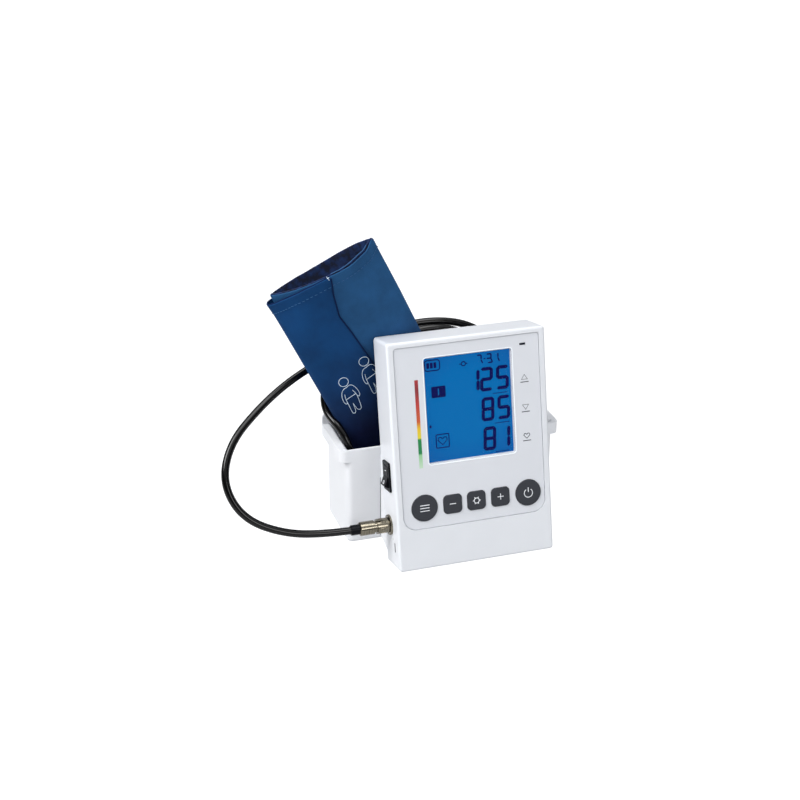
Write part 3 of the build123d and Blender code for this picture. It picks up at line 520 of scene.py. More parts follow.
class Finish(Enum):
    """The finishes of the object, each built once."""

    CASE = Plastic("case-white", tint(236, 238, 242), 0.34, 0.0005, 0.000006, 0.02)
    FASCIA = Plastic("fascia-grey", tint(229, 231, 236), 0.5, 0.0004, 0.00001, 0.02)
    BASKET = Plastic("basket-white", tint(240, 241, 244), 0.42, 0.0007, 0.00001, 0.02)
    KEYS = Plastic("dark-keys", tint(43, 46, 54), 0.55, 0.0004, 0.000012, 0.08)
    BLACK = Plastic("black-plastic", tint(14, 15, 20), 0.3, 0.0005, 0.00001, 0.2, 0.09)
    GREY = Plastic("grey-plastic", tint(150, 152, 156), 0.5)
    RUBBER = Plastic("hose-rubber", tint(6, 6, 7), 0.13, 0.0012, 0.00002, 0.25, 0.32)
    SOFT = Plastic("soft-rubber", tint(45, 45, 47), 0.75, 0.0008, 0.00003, 0.2)
    SILICONE = Plastic("silicone-tube", tint(226, 226, 220), 0.4)
    CELLS = Plastic("cell-wrap", tint(60, 118, 170), 0.3, 0.002, 0.00002, 0.1)
    LAMP = Plastic("lamp-clear", tint(226, 232, 226), 0.2, 0.002, 0.000005)
    STATUS = Plastic("status-lens", tint(34, 36, 48), 0.2, 0.002, 0.000005)
    PLATED = Metal("plated-brass", tint(150, 143, 127), 0.14, (60.0, 1.0, 1.0), 0.35)
    STEEL = Metal("bright-steel", tint(188, 190, 194), 0.3, (1.0, 1.0, 40.0))
    SCREEN = Glow(
        "lcd-blue", tint(4, 116, 190), tint(22, 92, 172), CASE_FRAME @ shift(0, 146, -4.6), 0.05, 0.86, 0.05
    )
    LIT = Glow("light-guide", tint(250, 252, 255), tint(235, 245, 255), CASE_FRAME @ shift(0, 140), 0.06)
    SCALE = Bands(
        "scale-print",
        0.0935,
        0.1735,
        (
            (0.0, tint(205, 232, 205)),
            (0.15, tint(150, 208, 150)),
            (0.17, tint(18, 132, 74)),
            (0.33, tint(22, 138, 70)),
            (0.345, tint(235, 222, 60)),
            (0.45, tint(240, 196, 40)),
            (0.53, tint(212, 92, 38)),
            (0.72, tint(196, 58, 50)),
            (0.88, tint(140, 38, 46)),
            (1.0, tint(176, 40, 44)),
        ),
    )
    WINDOW = Clear("window-clear", tint(10, 12, 16), 0.05)
    BOARD = Board("board-green", tint(22, 92, 52), tint(70, 140, 80))
    CLOTH = Weave("cuff-blue", tint(36, 82, 127))
    FLAP = Weave("cuff-flap-blue", tint(15, 62, 110))
    PILE = Pile("cuff-dark", tint(6, 18, 46), tint(24, 52, 104))
    BLADDER = Plastic("bladder-rubber", tint(50, 50, 54), 0.7, 0.001, 0.00005, 0.2)
    # Colour of the seam's thread, and also of the painted highlight on the lining's loose rim
    THREAD = Plastic("seam-thread", tint(54, 98, 146), 0.6, 0.0004, 0.00003, 0.1, 0.2)
    WHITE_INK = Plastic("white-ink", tint(248, 250, 253), 0.6, 0.0003, 0.00001)
    PALE_INK = Plastic("pale-ink", tint(226, 242, 255), 0.6, 0.0003, 0.00001)
    # Painted shadow: the dark lines along the flap's free edge and rim, where the flap stands off the cover
    TAPE = Plastic("flap-edge-shadow", tint(12, 34, 74), 0.75, 0.0006, 0.00003, 0.1, 0.1)
    # Colour of the printed side signs, and also of the painted shadow in the gap beside the wedge bracket
    DARK_INK = Plastic("dark-ink", tint(62, 64, 72), 0.6, 0.0003, 0.00001)
    SEGMENT = Plastic("lcd-segment", tint(16, 20, 92), 0.5, 0.0003, 0.000004, shine=0.05)

    def material(self) -> bpy.types.Material:
        """The finish's material, built when it is first asked for."""
        made = bpy.data.materials.get(self.value.name)
        return made if made is not None else self.value.material()

    def dress(self, piece: Piece) -> None:
        """Gives a piece this finish alone."""
        piece.data.materials.clear()
        piece.data.materials.append(self.material())


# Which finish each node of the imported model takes
NODE_FINISHES = {
    Finish.CASE: ("front_housing", "rear_housing"),
    Finish.FASCIA: ("fascia_panel",),
    Finish.BASKET: ("basket", "wedge_bracket"),
    Finish.KEYS: ("mode_button", "minus_button", "set_button", "plus_button", "start_button"),
    Finish.BLACK: (
        "rocker_frame", "rocker_paddle", "lcd_holder", "key_switches",
        "buzzer", "battery_tray", "hose_ferrule", "cuff_port",
    ),
    Finish.GREY: ("air_manifold", "pump_head", "pressure_sensor"),
    Finish.SOFT: ("pump_cradle",),
    Finish.SILICONE: ("socket_tube", "pump_tube"),
    Finish.CELLS: ("battery_pack",),
    Finish.LAMP: ("charge_lamp", "status_led"),
    Finish.STATUS: ("status_light",),
    Finish.PLATED: ("air_socket", "coupler_body", "coupler_latch", "socket_nut", "valve_plunger"),
    Finish.STEEL: (
        "case_screws", "bracket_screws", "basket_screws", "board_screws",
        "motor_can", "pump_rotor", "valve_body", "charging_socket",
    ),
    Finish.SCREEN: ("lcd_panel",),
    Finish.LIT: ("lcd_backlight",),
    Finish.SCALE: ("colour_scale",),
    Finish.WINDOW: ("display_window",),
    Finish.BOARD: ("main_board",),
}


class Bench:
    """Blender's modelling tools, one call each, as a modeller would use them."""

    @staticmethod
    def clear() -> None:
        """Puts everything down."""
        bpy.ops.object.select_all(action="DESELECT")

    @staticmethod
    def hold(*pieces: Piece) -> None:
        """Selects these pieces alone.

        Args:
            pieces: The pieces, the first of which is made active.
        """
        Bench.clear()
        for piece in pieces:
            piece.select_set(True)
        bpy.context.view_layer.objects.active = pieces[0]

    @staticmethod
    def settle(piece: Piece, place: Matrix) -> Piece:
        """Moves a piece and writes its place into its mesh.

        Args:
            piece: The piece.
            place: The matrix that moves it.

        Returns:
            The same piece.
        """
        piece.matrix_world = place @ piece.matrix_world
        Bench.hold(piece)
        bpy.ops.object.transform_apply(location=True, rotation=True, scale=True)
        Bench.clear()
        return piece

    @staticmethod
    def link(name: str, data: bpy.types.ID) -> Piece:
        """Puts something new into the scene.

        Args:
            name: Its name.
            data: A mesh, a curve, a camera or a lamp.

        Returns:
            Its object.
        """
        piece = bpy.data.objects.new(name, data)
        bpy.context.scene.collection.objects.link(piece)
        return piece

    @staticmethod
    def start(name: str, size: Sequence[float]) -> Piece:
        """Starts a flat rectangle round the origin and opens it in edit mode.

        Args:
            name: The piece's name.
            size: Its width and height in metres.

        Returns:
            The piece.
        """
        Bench.clear()
        bpy.ops.mesh.primitive_plane_add(size=1.0)
        piece = bpy.context.object
        piece.name = piece.data.name = name
        piece.scale = (size[0], size[1], 1.0)
        bpy.ops.object.transform_apply(location=False, rotation=False, scale=True)
        bpy.ops.object.mode_set(mode="EDIT")
        bpy.ops.mesh.select_all(action="SELECT")
        return piece

    @staticmethod
    def raise_up(thickness: float) -> None:
        """Gives the flat shape that is open its thickness, and leaves edit mode.

        Args:
            thickness: The thickness in metres.
        """
        bpy.ops.mesh.select_all(action="SELECT")
        bpy.ops.mesh.extrude_region_move(TRANSFORM_OT_translate={"value": (0, 0, thickness)})
        bpy.ops.mesh.select_all(action="SELECT")
        bpy.ops.mesh.normals_make_consistent(inside=False)
        bpy.ops.object.mode_set(mode="OBJECT")

    @staticmethod
    def plate(name: str, size: Sequence[float], corner: float, steps: int) -> Piece:
        """A flat plate with bevelled corners, its middle at the origin.

        Args:
            name: The piece's name.
            size: Width, height and thickness in metres.
            corner: How far each corner is cut back.
            steps: Number of faces round a corner.

        Returns:
            The plate.
        """
        plate = Bench.start(name, size)
        bpy.ops.mesh.bevel(offset=corner, segments=steps, affect="VERTICES")
        bpy.ops.mesh.remove_doubles(threshold=min(size) * 0.01)
        Bench.raise_up(size[2])
        return plate

    @staticmethod
    def ring(name: str, size: Sequence[float], corner: float, width: float) -> Piece:
        """A flat rectangular frame with rounded corners.

        Args:
            name: The piece's name.
            size: Outer width, outer height and thickness in metres.
            corner: Radius of its outer corners.
            width: Width of its four sides.

        Returns:
            The frame.
        """
        ring = Bench.start(name, size)
        bpy.ops.mesh.bevel(offset=corner, segments=6, affect="VERTICES")
        bpy.ops.mesh.select_all(action="SELECT")
        bpy.ops.mesh.inset(thickness=width)
        bpy.ops.mesh.delete(type="FACE")
        Bench.raise_up(size[2])
        return ring

    @staticmethod
    def twin(piece: Piece, name: str) -> Piece:
        """Copies a piece together with its mesh.

        Args:
            piece: The piece.
            name: The copy's name.

        Returns:
            The copy.
        """
        twin = Bench.link(name, piece.data.copy())
        twin.data.name = name
        return twin

    @staticmethod
    def join(name: str, pieces: Sequence[Piece]) -> Piece:
        """Joins pieces into one.

        Args:
            name: The name of the whole.
            pieces: The pieces, which are used up.

        Returns:
            The joined piece.
        """
        Bench.hold(*pieces)
        bpy.ops.object.join()
        joined = bpy.context.object
        joined.name = joined.data.name = name
        Bench.clear()
        return joined

    @staticmethod
    def round_curve(name: str, width: float, resolution: int) -> bpy.types.Curve:
        """An empty curve that is round and has closed ends.

        Args:
            name: The curve's name.
            width: Its width in millimetres.
            resolution: How finely it is rounded.

        Returns:
            The curve.
        """
        curve = bpy.data.curves.new(name, "CURVE")
        curve.dimensions = "3D"
        curve.bevel_depth = width / 2 * MM
        curve.bevel_resolution = resolution
        curve.use_fill_caps = True
        return curve

    @staticmethod
    def strokes(
        name: str, lines: Iterable[Sequence[Sequence[float]]], width: float, flatness: float = 1.0
    ) -> Piece:
        """Printed or laid lines.

        Args:
            name: The piece's name.
            lines: Each line's points in millimetres; one that ends where it starts is closed.
            width: Width of the lines in millimetres.
            flatness: Height of a line as a share of its width, for lines on the plane of X and Y.

        Returns:
            The lines as one mesh.
        """
        curve = Bench.round_curve(name, width, 1)
        for line in lines:
            closed = tuple(line[0]) == tuple(line[-1])
            points = line[:-1] if closed else line
            spline = curve.splines.new("POLY")
            spline.points.add(len(points) - 1)
            spline.use_cyclic_u = closed
            for point, (x, y, *level) in zip(spline.points, points):
                point.co = (x * MM, y * MM, sum(level) * MM, 1.0)
        Bench.hold(Bench.link(name, curve))
        bpy.ops.object.convert(target="MESH")
        piece = bpy.context.object
        piece.data.name = name
        if flatness < 1:
            piece.scale = (1.0, 1.0, flatness)
            bpy.ops.object.transform_apply(location=False, rotation=False, scale=True)
        Bench.clear()
        return piece

    @staticmethod
    def quilt(
        mesh: bmesh.types.BMesh,
        rows: Sequence[Sequence[Vector]],
        cloth: tuple[Sequence[float], Sequence[float]] | None = None,
        flip: bool = False,
    ) -> None:
        """Fills rows of points with smooth faces.

        Args:
            mesh: The mesh that takes them.
            rows: The points, row by row.
            cloth: Places of the columns and of the rows on the flat cloth, in metres, for a UV map. One
                more column than the rows have points means that each row runs on into its own start.
            flip: True to turn the faces over.
        """
        layer = mesh.loops.layers.uv.new("cloth") if cloth else None
        grid = [[mesh.verts.new(point) for point in row] for row in rows]
        count = len(rows[0])
        closed = cloth is not None and len(cloth[0]) > count
        for j, (near, far) in enumerate(zip(grid, grid[1:])):
            for i in range(count if closed else count - 1):
                k = (i + 1) % count
                corners = (near[i], far[i], far[k], near[k])
                face = mesh.faces.new(corners[::-1] if flip else corners)
                face.smooth = True
                if cloth:
                    for loop, (a, b) in zip(face.loops, ((i, j), (i, j + 1), (i + 1, j + 1), (i + 1, j))):
                        loop[layer].uv = (cloth[0][a], cloth[1][b])

    @staticmethod
    def keep(name: str, mesh: bmesh.types.BMesh) -> Piece:
        """Makes a piece of a filled mesh.

        Args:
            name: The piece's name.
            mesh: The mesh, which is used up.

        Returns:
            The piece.
        """
        data = bpy.data.meshes.new(name)
        mesh.to_mesh(data)
        mesh.free()
        return Bench.link(name, data)


def arc(middle: Sequence[float], radius: float, start: float, end: float, steps: int) -> list[Point]:
    """Points along an arc.

    Args:
        middle: Its centre in millimetres.
        radius: Its radius in millimetres.
        start: Its first angle in degrees.
        end: Its last angle in degrees.
        steps: Number of pieces in it.

    Returns:
        The points; those of a full circle close it exactly.
    """
    angles = [math.radians(start + (end - start) * k / steps) for k in range(steps + 1)]
    points = [(middle[0] + radius * math.cos(a), middle[1] + radius * math.sin(a)) for a in angles]
    if abs(end - start) >= 360:
        points[-1] = points[0]
    return points


def rounded(points: Sequence[Point], steps: int = 6) -> list[Point]:
    """Draws a smooth line through points.

    Args:
        points: Its points in millimetres.
        steps: Number of pieces between two of them.

    Returns:
        The smooth line's points.
    """
    line = [points[0]]
    padded = [points[0], *points, points[-1]]
    for quad in zip(padded, padded[1:], padded[2:], padded[3:]):
        for k in range(1, steps + 1):
            t = k / steps
            spot = []
            for a, b, c, d in zip(*quad):
                bend = 2 * a - 5 * b + 4 * c - d + t * (3 * (b - c) + d - a)
                spot.append(b + 0.5 * t * (c - a + t * bend))
            line.append(tuple(spot))
    return line


# The outline of the heart sign round its middle, in millimetres
HEART = [
    (0.0, -2.4), (-2.9, 0.6), (-2.3, 2.2), (-0.9, 2.2), (0.0, 1.1),
    (0.9, 2.2), (2.3, 2.2), (2.9, 0.6), (0.0, -2.4),
]


def box_line(left: float, low: float, right: float, high: float, corner: float) -> list[Point]:
    """The closed outline of a box with rounded corners, in millimetres.

    Args:
        left: Its left side.
        low: Its foot.
        right: Its right side.
        high: Its top.
        corner: Radius of its corners.

    Returns:
        The outline's points.
    """
    points = []
    for x, y, start in (
        (right - corner, high - corner, 0),
        (left + corner, high - corner, 90),
        (left + corner, low + corner, 180),
        (right - corner, low + corner, 270),
    ):
        points += arc((x, y), corner, start, start + 90, 4)
    return [*points, points[0]]


# The bars of each seven-bar figure that the display shows
BARS = {"1": "bc", "2": "abged", "3": "abgcd", "5": "afgcd", "7": "abc", "8": "abcdefg"}
# A line of figures: its foot up the case, the figures, and their left edges across it
Figures = tuple[float, str, Row]


@dataclass
class Display:
    """The figures and signs that the display shows, its lit edge, and the signs printed beside it."""

    segment_shift: Triple = (-0.72, 0.52, -2.47)
    # Slant of the figures, and pitch, foot and middle of the rows, as it starts anew in each row
    slant: float = 0.045
    row_pitch: float = 27.2
    row_foot: float = 100.0
    row_middle: float = 11.0
    # Width, height and bar width of the large and the small figures
    digit: Triple = (12.2, 21.8, 3.1)
    small_digit: Triple = (5.2, 9.0, 1.3)
    reading_rows: tuple[Figures, ...] = (
        (154.6, "125", (-0.4, 12.2, 27.3)),
        (127.3, "85", (12.2, 27.3)),
        (100.2, "81", (12.6, 26.2)),
    )
    date_row: Figures = (179.6, "731", (10.0, 19.3, 25.9))
    # The small lines under the readings: left and right end and level of each row, and their number and gap
    unit_rows: tuple[Triple, ...] = ((23.8, 37.6, 151.7), (24.3, 38.6, 124.4), (24.0, 37.0, 98.1))
    units: int = 6
    unit_gap: float = 0.7
    user_block: Point = (-27.1, 159.6)
    user_figure: Point = (-31.0, 156.1)
    edge_size: Triple = (84.4, 97.9, 0.25)
    edge_middle: Triple = (0.5, 143.8, -0.95)
    edge_corner: float = 3.6
    edge_width: float = 0.72
    sign_width: float = 0.95
    unit_width: float = 0.9
    side_width: float = 0.8
    flatness: float = 0.2
    sign_middle: float = 52.9
    sign_levels: Triple = (163.9, 136.6, 109.8)

    def figure(self, sign: str, size: Sequence[float], left: float, low: float) -> list[Piece]:
        """One seven-bar figure.

        Args:
            sign: The figure to show.
            size: Width, height and bar width in millimetres.
            left: Left edge of its cell across the case.
            low: Foot of its cell up the case.

        Returns:
            Its bars, in the case's frame.
        """
        width, height, bar = size
        across, up = width - bar, (height - bar) / 2
        spots = {
            "a": (across / 2, 2 * up, False),
            "b": (across, 1.5 * up, True),
            "c": (across, 0.5 * up, True),
            "d": (across / 2, 0, False),
            "e": (0, 0.5 * up, True),
            "f": (0, 1.5 * up, True),
            "g": (across / 2, up, False),
        }
        # How much longer the bars are than the way between the corners where they meet, in bar widths
        lap = 0.5 if "g" in BARS[sign] else 0.12
        made = []
        for name in BARS[sign]:
            x, y, upright = spots[name]
            length = (up if upright else across) + bar * lap
            piece = Bench.plate(f"bar_{name}", (length * MM, bar * MM, FILM), bar * 0.499 * MM, 1)
            turn = Matrix.Rotation(math.pi / 2 if upright else 0.0, 4, "Z")
            made.append(Bench.settle(piece, shift(left + bar / 2 + x, low + bar / 2 + y) @ turn))
        return made

    def readings(self) -> Piece:
        """Builds the three readings and the date as one slanted piece.

        Returns:
            The figures.
        """
        rows = [(self.digit, row) for row in self.reading_rows]
        made = []
        for size, (low, signs, places) in (*rows, (self.small_digit, self.date_row)):
            for sign, left in zip(signs, places):
                made += self.figure(sign, size, left, low)
        readings = Bench.join("display_figures", made)
        for vertex in readings.data.vertices:
            height = (vertex.co.y / MM - self.row_foot) % self.row_pitch - self.row_middle
            vertex.co.x += self.slant * height * MM
        return readings

    def signs(self) -> Piece:
        """Builds the battery sign, the boxed signs and the small lines as one piece.

        Returns:
            The signs.
        """
        lines = [
            box_line(-38.7, 179.2, -24.7, 188.6, 2.4),
            box_line(-31.8, 108.8, -19.8, 121.0, 0.8),
            [(16.6, 184.2), (18.2, 184.2)],
            arc((-2.6, 182.0), 1.9, 0, 360, 12),
            [(-6.4, 182.0), (-5.2, 182.0)],
            [(0.0, 182.0), (1.2, 182.0)],
            [(x * 1.5 - 25.8, y * 1.5 + 114.9) for x, y in HEART],
        ]
        units = []
        for left, right, level in self.unit_rows:
            for k in range(self.units):
                start = left + (right - left) * k / self.units
                units.append([(start, level), (start + (right - left) / self.units - self.unit_gap, level)])
        made = [Bench.strokes("sign_lines", lines, self.sign_width, self.flatness)]
        made.append(Bench.strokes("sign_units", units, self.unit_width, self.flatness))
        cells = [(left, 181.4, 2.5, 5.0, 0.3) for left in (-36.9, -33.6, -30.3)]
        for left, low, width, height, corner in (*cells, (-37.2, 127.8, 1.9, 2.6, 0.6)):
            block = Bench.plate("sign_block", (width * MM, height * MM, FILM), corner * MM, 2)
            made.append(Bench.settle(block, shift(left + width / 2, low + height / 2)))
        return Bench.join("display_signs", made)

    def user_sign(self) -> tuple[Piece, Piece]:
        """Builds a dark block and the pale figure on it.

        Returns:
            The block and the figure.
        """
        block = Bench.plate("display_user_block", (13.2 * MM, 10.2 * MM, FILM), 1.0 * MM, 3)
        figure = Bench.join("display_user_figure", self.figure("1", (4.4, 7.0, 1.1), *self.user_figure))
        return Bench.settle(block, shift(*self.user_block)), Bench.settle(figure, shift(0, 0, 0.04))

    def lit_edge(self) -> Piece:
        """Builds the bright edge of the light guide round the display.

        Returns:
            The edge.
        """
        size = [length * MM for length in self.edge_size]
        edge = Bench.ring("display_light_edge", size, self.edge_corner * MM, self.edge_width * MM)
        return Bench.settle(edge, CASE_FRAME @ shift(*self.edge_middle))

    def side_signs(self) -> Piece:
        """Builds the three small signs beside the readings: rising, falling and a heart, each over a line.

        Returns:
            The signs.
        """
        lines = []
        up = [(-2.9, -2.0), (0.0, 2.4), (2.9, -2.0), (-2.9, -2.0)]
        for level, sign in zip(self.sign_levels, (up, [(x, -y) for x, y in up], HEART)):
            lines.append([(self.sign_middle + x, level + y) for x, y in sign])
            lines.append([(self.sign_middle + x, level - 4.4) for x in (-3.9, 3.9)])
        signs = Bench.strokes("side_signs", lines, self.side_width, self.flatness)
        return Bench.settle(signs, CASE_FRAME @ shift(0, 0, -0.8))

    def build(self) -> None:
        """Builds the display's pieces and lets them ride on the station."""
        readings = self.readings()
        block, figure = self.user_sign()
        place = CASE_FRAME @ shift(*self.segment_shift)
        shown = [Bench.settle(piece, place) for piece in (readings, self.signs(), block, figure)]
        edge = self.lit_edge()
        finishes = (*[Finish.SEGMENT] * 3, Finish.SCREEN, Finish.LIT, Finish.DARK_INK)
        for piece, finish in zip((*shown, edge, self.side_signs()), finishes):
            finish.dress(piece)
            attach(piece, "station")
            LOG.info("display piece %s", piece.name)


@dataclass
class Keys:
    """The white signs on the five keys and the marks on the power rocker."""

    row: float = 56.7
    middles: dict[str, float] = field(
        default_factory=lambda: {"mode": -47.5, "minus": -21.0, "set": 1.6, "plus": 24.6, "start": 51.6}
    )
    sign_width: float = 0.75
    flatness: float = 0.15
    mark_width: float = 0.55
    mark_lift: float = 0.03

    def lines(self, key: str) -> list[list[Point]]:
        """Draws a key's sign round its middle.

        Args:
            key: The key.

        Returns:
            The sign's lines, in millimetres.
        """
        bar = [(-2.9, 0.3), (2.9, 0.3)]
        if key == "mode":
            return [[(-4.4, y), (4.4, y)] for y in (2.6, 0.0, -2.6)]
        if key == "minus":
            return [bar]
        if key == "plus":
            return [bar, [(0.0, -2.6), (0.0, 3.2)]]
        if key == "set":
            rays = []
            for k in range(6):
                way = math.radians(60 * k)
                rays.append([(r * math.cos(way), r * math.sin(way)) for r in (2.5, 3.7)])
            return [arc((0, 0), 2.4, 0, 360, 18), *rays]
        return [arc((0, -0.3), 4.0, 125, 415, 24), [(0.0, 0.6), (0.0, 5.0)]]

    def rocker_marks(self) -> Piece:
        """Lays the line and the ring of the power rocker on the faces of its paddle.

        Returns:
            The two marks.
        """
        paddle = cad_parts["rocker_paddle"]
        into = paddle.matrix_world.inverted()
        inwards = into.to_3x3() @ Vector((1, 0, 0))
        aside = SIDE_FRAME.inverted() @ paddle.matrix_world
        corners = [aside @ Vector(corner) for corner in paddle.bound_box]
        across, up = (sum(corner[axis] for corner in corners) / 8 / MM for axis in (0, 1))
        outside = 20.0
        lines = []
        for line in ([(-1.5, 5.2), (1.5, 5.2)], arc((0, -5.2), 1.4, 0, 360, 18)):
            points = []
            for x, y in line:
                start = SIDE_FRAME @ Vector(((across + x) * MM, (up + y) * MM, outside * MM))
                hit, spot, normal, _ = paddle.ray_cast(into @ start, inwards)
                if hit:
                    points.append(tuple(paddle.matrix_world @ (spot + normal * self.mark_lift * MM) / MM))
            lines.append(points)
        return Bench.strokes("rocker_marks", lines, self.mark_width)

    def build(self) -> None:
        """Builds each sign on its own key."""
        marks = self.rocker_marks()
        Finish.WHITE_INK.dress(marks)
        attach(marks, "power_rocker")
        for key, middle in self.middles.items():
            sign = Bench.strokes(f"{key}_sign", self.lines(key), self.sign_width, self.flatness)
            Bench.settle(sign, CASE_FRAME @ shift(middle, self.row))
            Finish.WHITE_INK.dress(sign)
            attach(sign, f"{key}_key")
            LOG.info("key sign %s", sign.name)


@dataclass
class BracketGapShadow:
    """A thin dark line of painted shadow in the gap at the left between the wedge bracket and the basket."""

    # Where the line of painted shadow stands, in X and Y, and the levels that it runs between
    place: Point = (-68.42, -64.36)
    reach: Point = (-46.0, 14.0)
    width: float = 0.85

    def build(self) -> None:
        """Builds the line of painted shadow and lets it ride on the station."""
        line = [(*self.place, level) for level in self.reach]
        bead = Bench.strokes("bracket_seam_bead", [line], self.width)
        Finish.DARK_INK.dress(bead)
        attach(bead, "station")
        LOG.info("bead %s", bead.name)


@dataclass
class Hose:
    """The rubber hose: its route's points, in millimetres, as in the source of the solids."""

    diameter: float = 7.0
    length: float = 1346.0
    exit: Triple = (-23.6, 39.0, 29.0)
    lead: Triple = (-27, 0, 0)
    route: tuple[Triple, ...] = (
        (-166, -95, -12), (-202, -89, 6), (-216, -75, 36), (-204, -56, 64), (-175, -39, 85),
        (-141, -19, 100), (-104, -8.5, 113), (-58, -7.2, 131), (-4, -7.2, 140), (44, -7.4, 128),
        (76, -8, 90), (83, -9, 40), (68, -12, -12), (26, -19, -42), (-26, -30, -44),
        (-66, -45, -36), (-85, -54, -7), (-89.5, -51.5, 29), (-98, -44, 56), (-110, -20, 69),
        (-104, -12.6, 96), (-76, -13, 116), (-40, -14.6, 129), (4, -14.6, 136), (44, -15.5, 117),
        (68, -17, 76), (73, -20, 30), (68, -25, -14), (48, -31, -40), (16, -37, -42.5),
    )
    # The port under the cuff's foot: how far in front of the roll's middle, and how far down the hose ends
    port_out: float = 8.25
    port_drop: float = 3.0
    # The last points: how far below the end of the hose, and how far aside
    tail: tuple[Row, ...] = ((53, 2.5, 0.3, -1), (26, 0, 0, 0), (0, 0, 0, 0))

    def build(self, cuff: "Cuff") -> None:
        """Builds the hose from the coupler to the cuff's port.

        Args:
            cuff: The cuff, which gives the port's place.
        """
        start = SIDE_FRAME @ Vector([x * MM for x in self.exit]) / MM
        points = [start, start + Vector(self.lead), *[Vector(point) for point in self.route]]
        port = cuff.mouth + Vector((0, -self.port_out, 0))
        for drop, *aside in self.tail:
            points.append(port + cuff.down * (cuff.length + self.port_drop + drop) + Vector(aside))
        curve = Bench.round_curve("air_hose_tube", self.diameter, 5)
        curve.resolution_u = 10
        spline = curve.splines.new("NURBS")
        spline.points.add(len(points) - 1)
        for point, place in zip(spline.points, points):
            point.co = (*(place * MM), 1.0)
        spline.order_u = 3
        spline.use_endpoint_u = True
        hose = Bench.link("air_hose_tube", curve)
        Finish.RUBBER.dress(hose)
        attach(hose, "station")
        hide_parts("air_hose")
        LOG.info("hose with %d points", len(points))


def smooth(value: float, low: float, high: float) -> float:
    """Rises smoothly from 0 to 1 as value goes from low to high."""
    share = min(1.0, max(0.0, (value - low) / (high - low)))
    return share * share * (3 - 2 * share)


def between(value: float, table: Sequence[Point]) -> float:
    """Reads a table in a straight line between its rows.

    Args:
        value: The place to read it at.
        table: Places in rising order, with their values.

    Returns:
        The value there.
    """
    for (x0, y0), (x1, y1) in zip(table, table[1:]):
        if value <= x1:
            share = (value - x0) / (x1 - x0)
            return y0 + (y1 - y0) * max(0.0, share)
    return table[-1][1]


def swell(value: float, middle: float, breadth: float) -> float:
    """1 in the middle, falling away smoothly on both sides."""
    return math.exp(-(((value - middle) / breadth) ** 2))


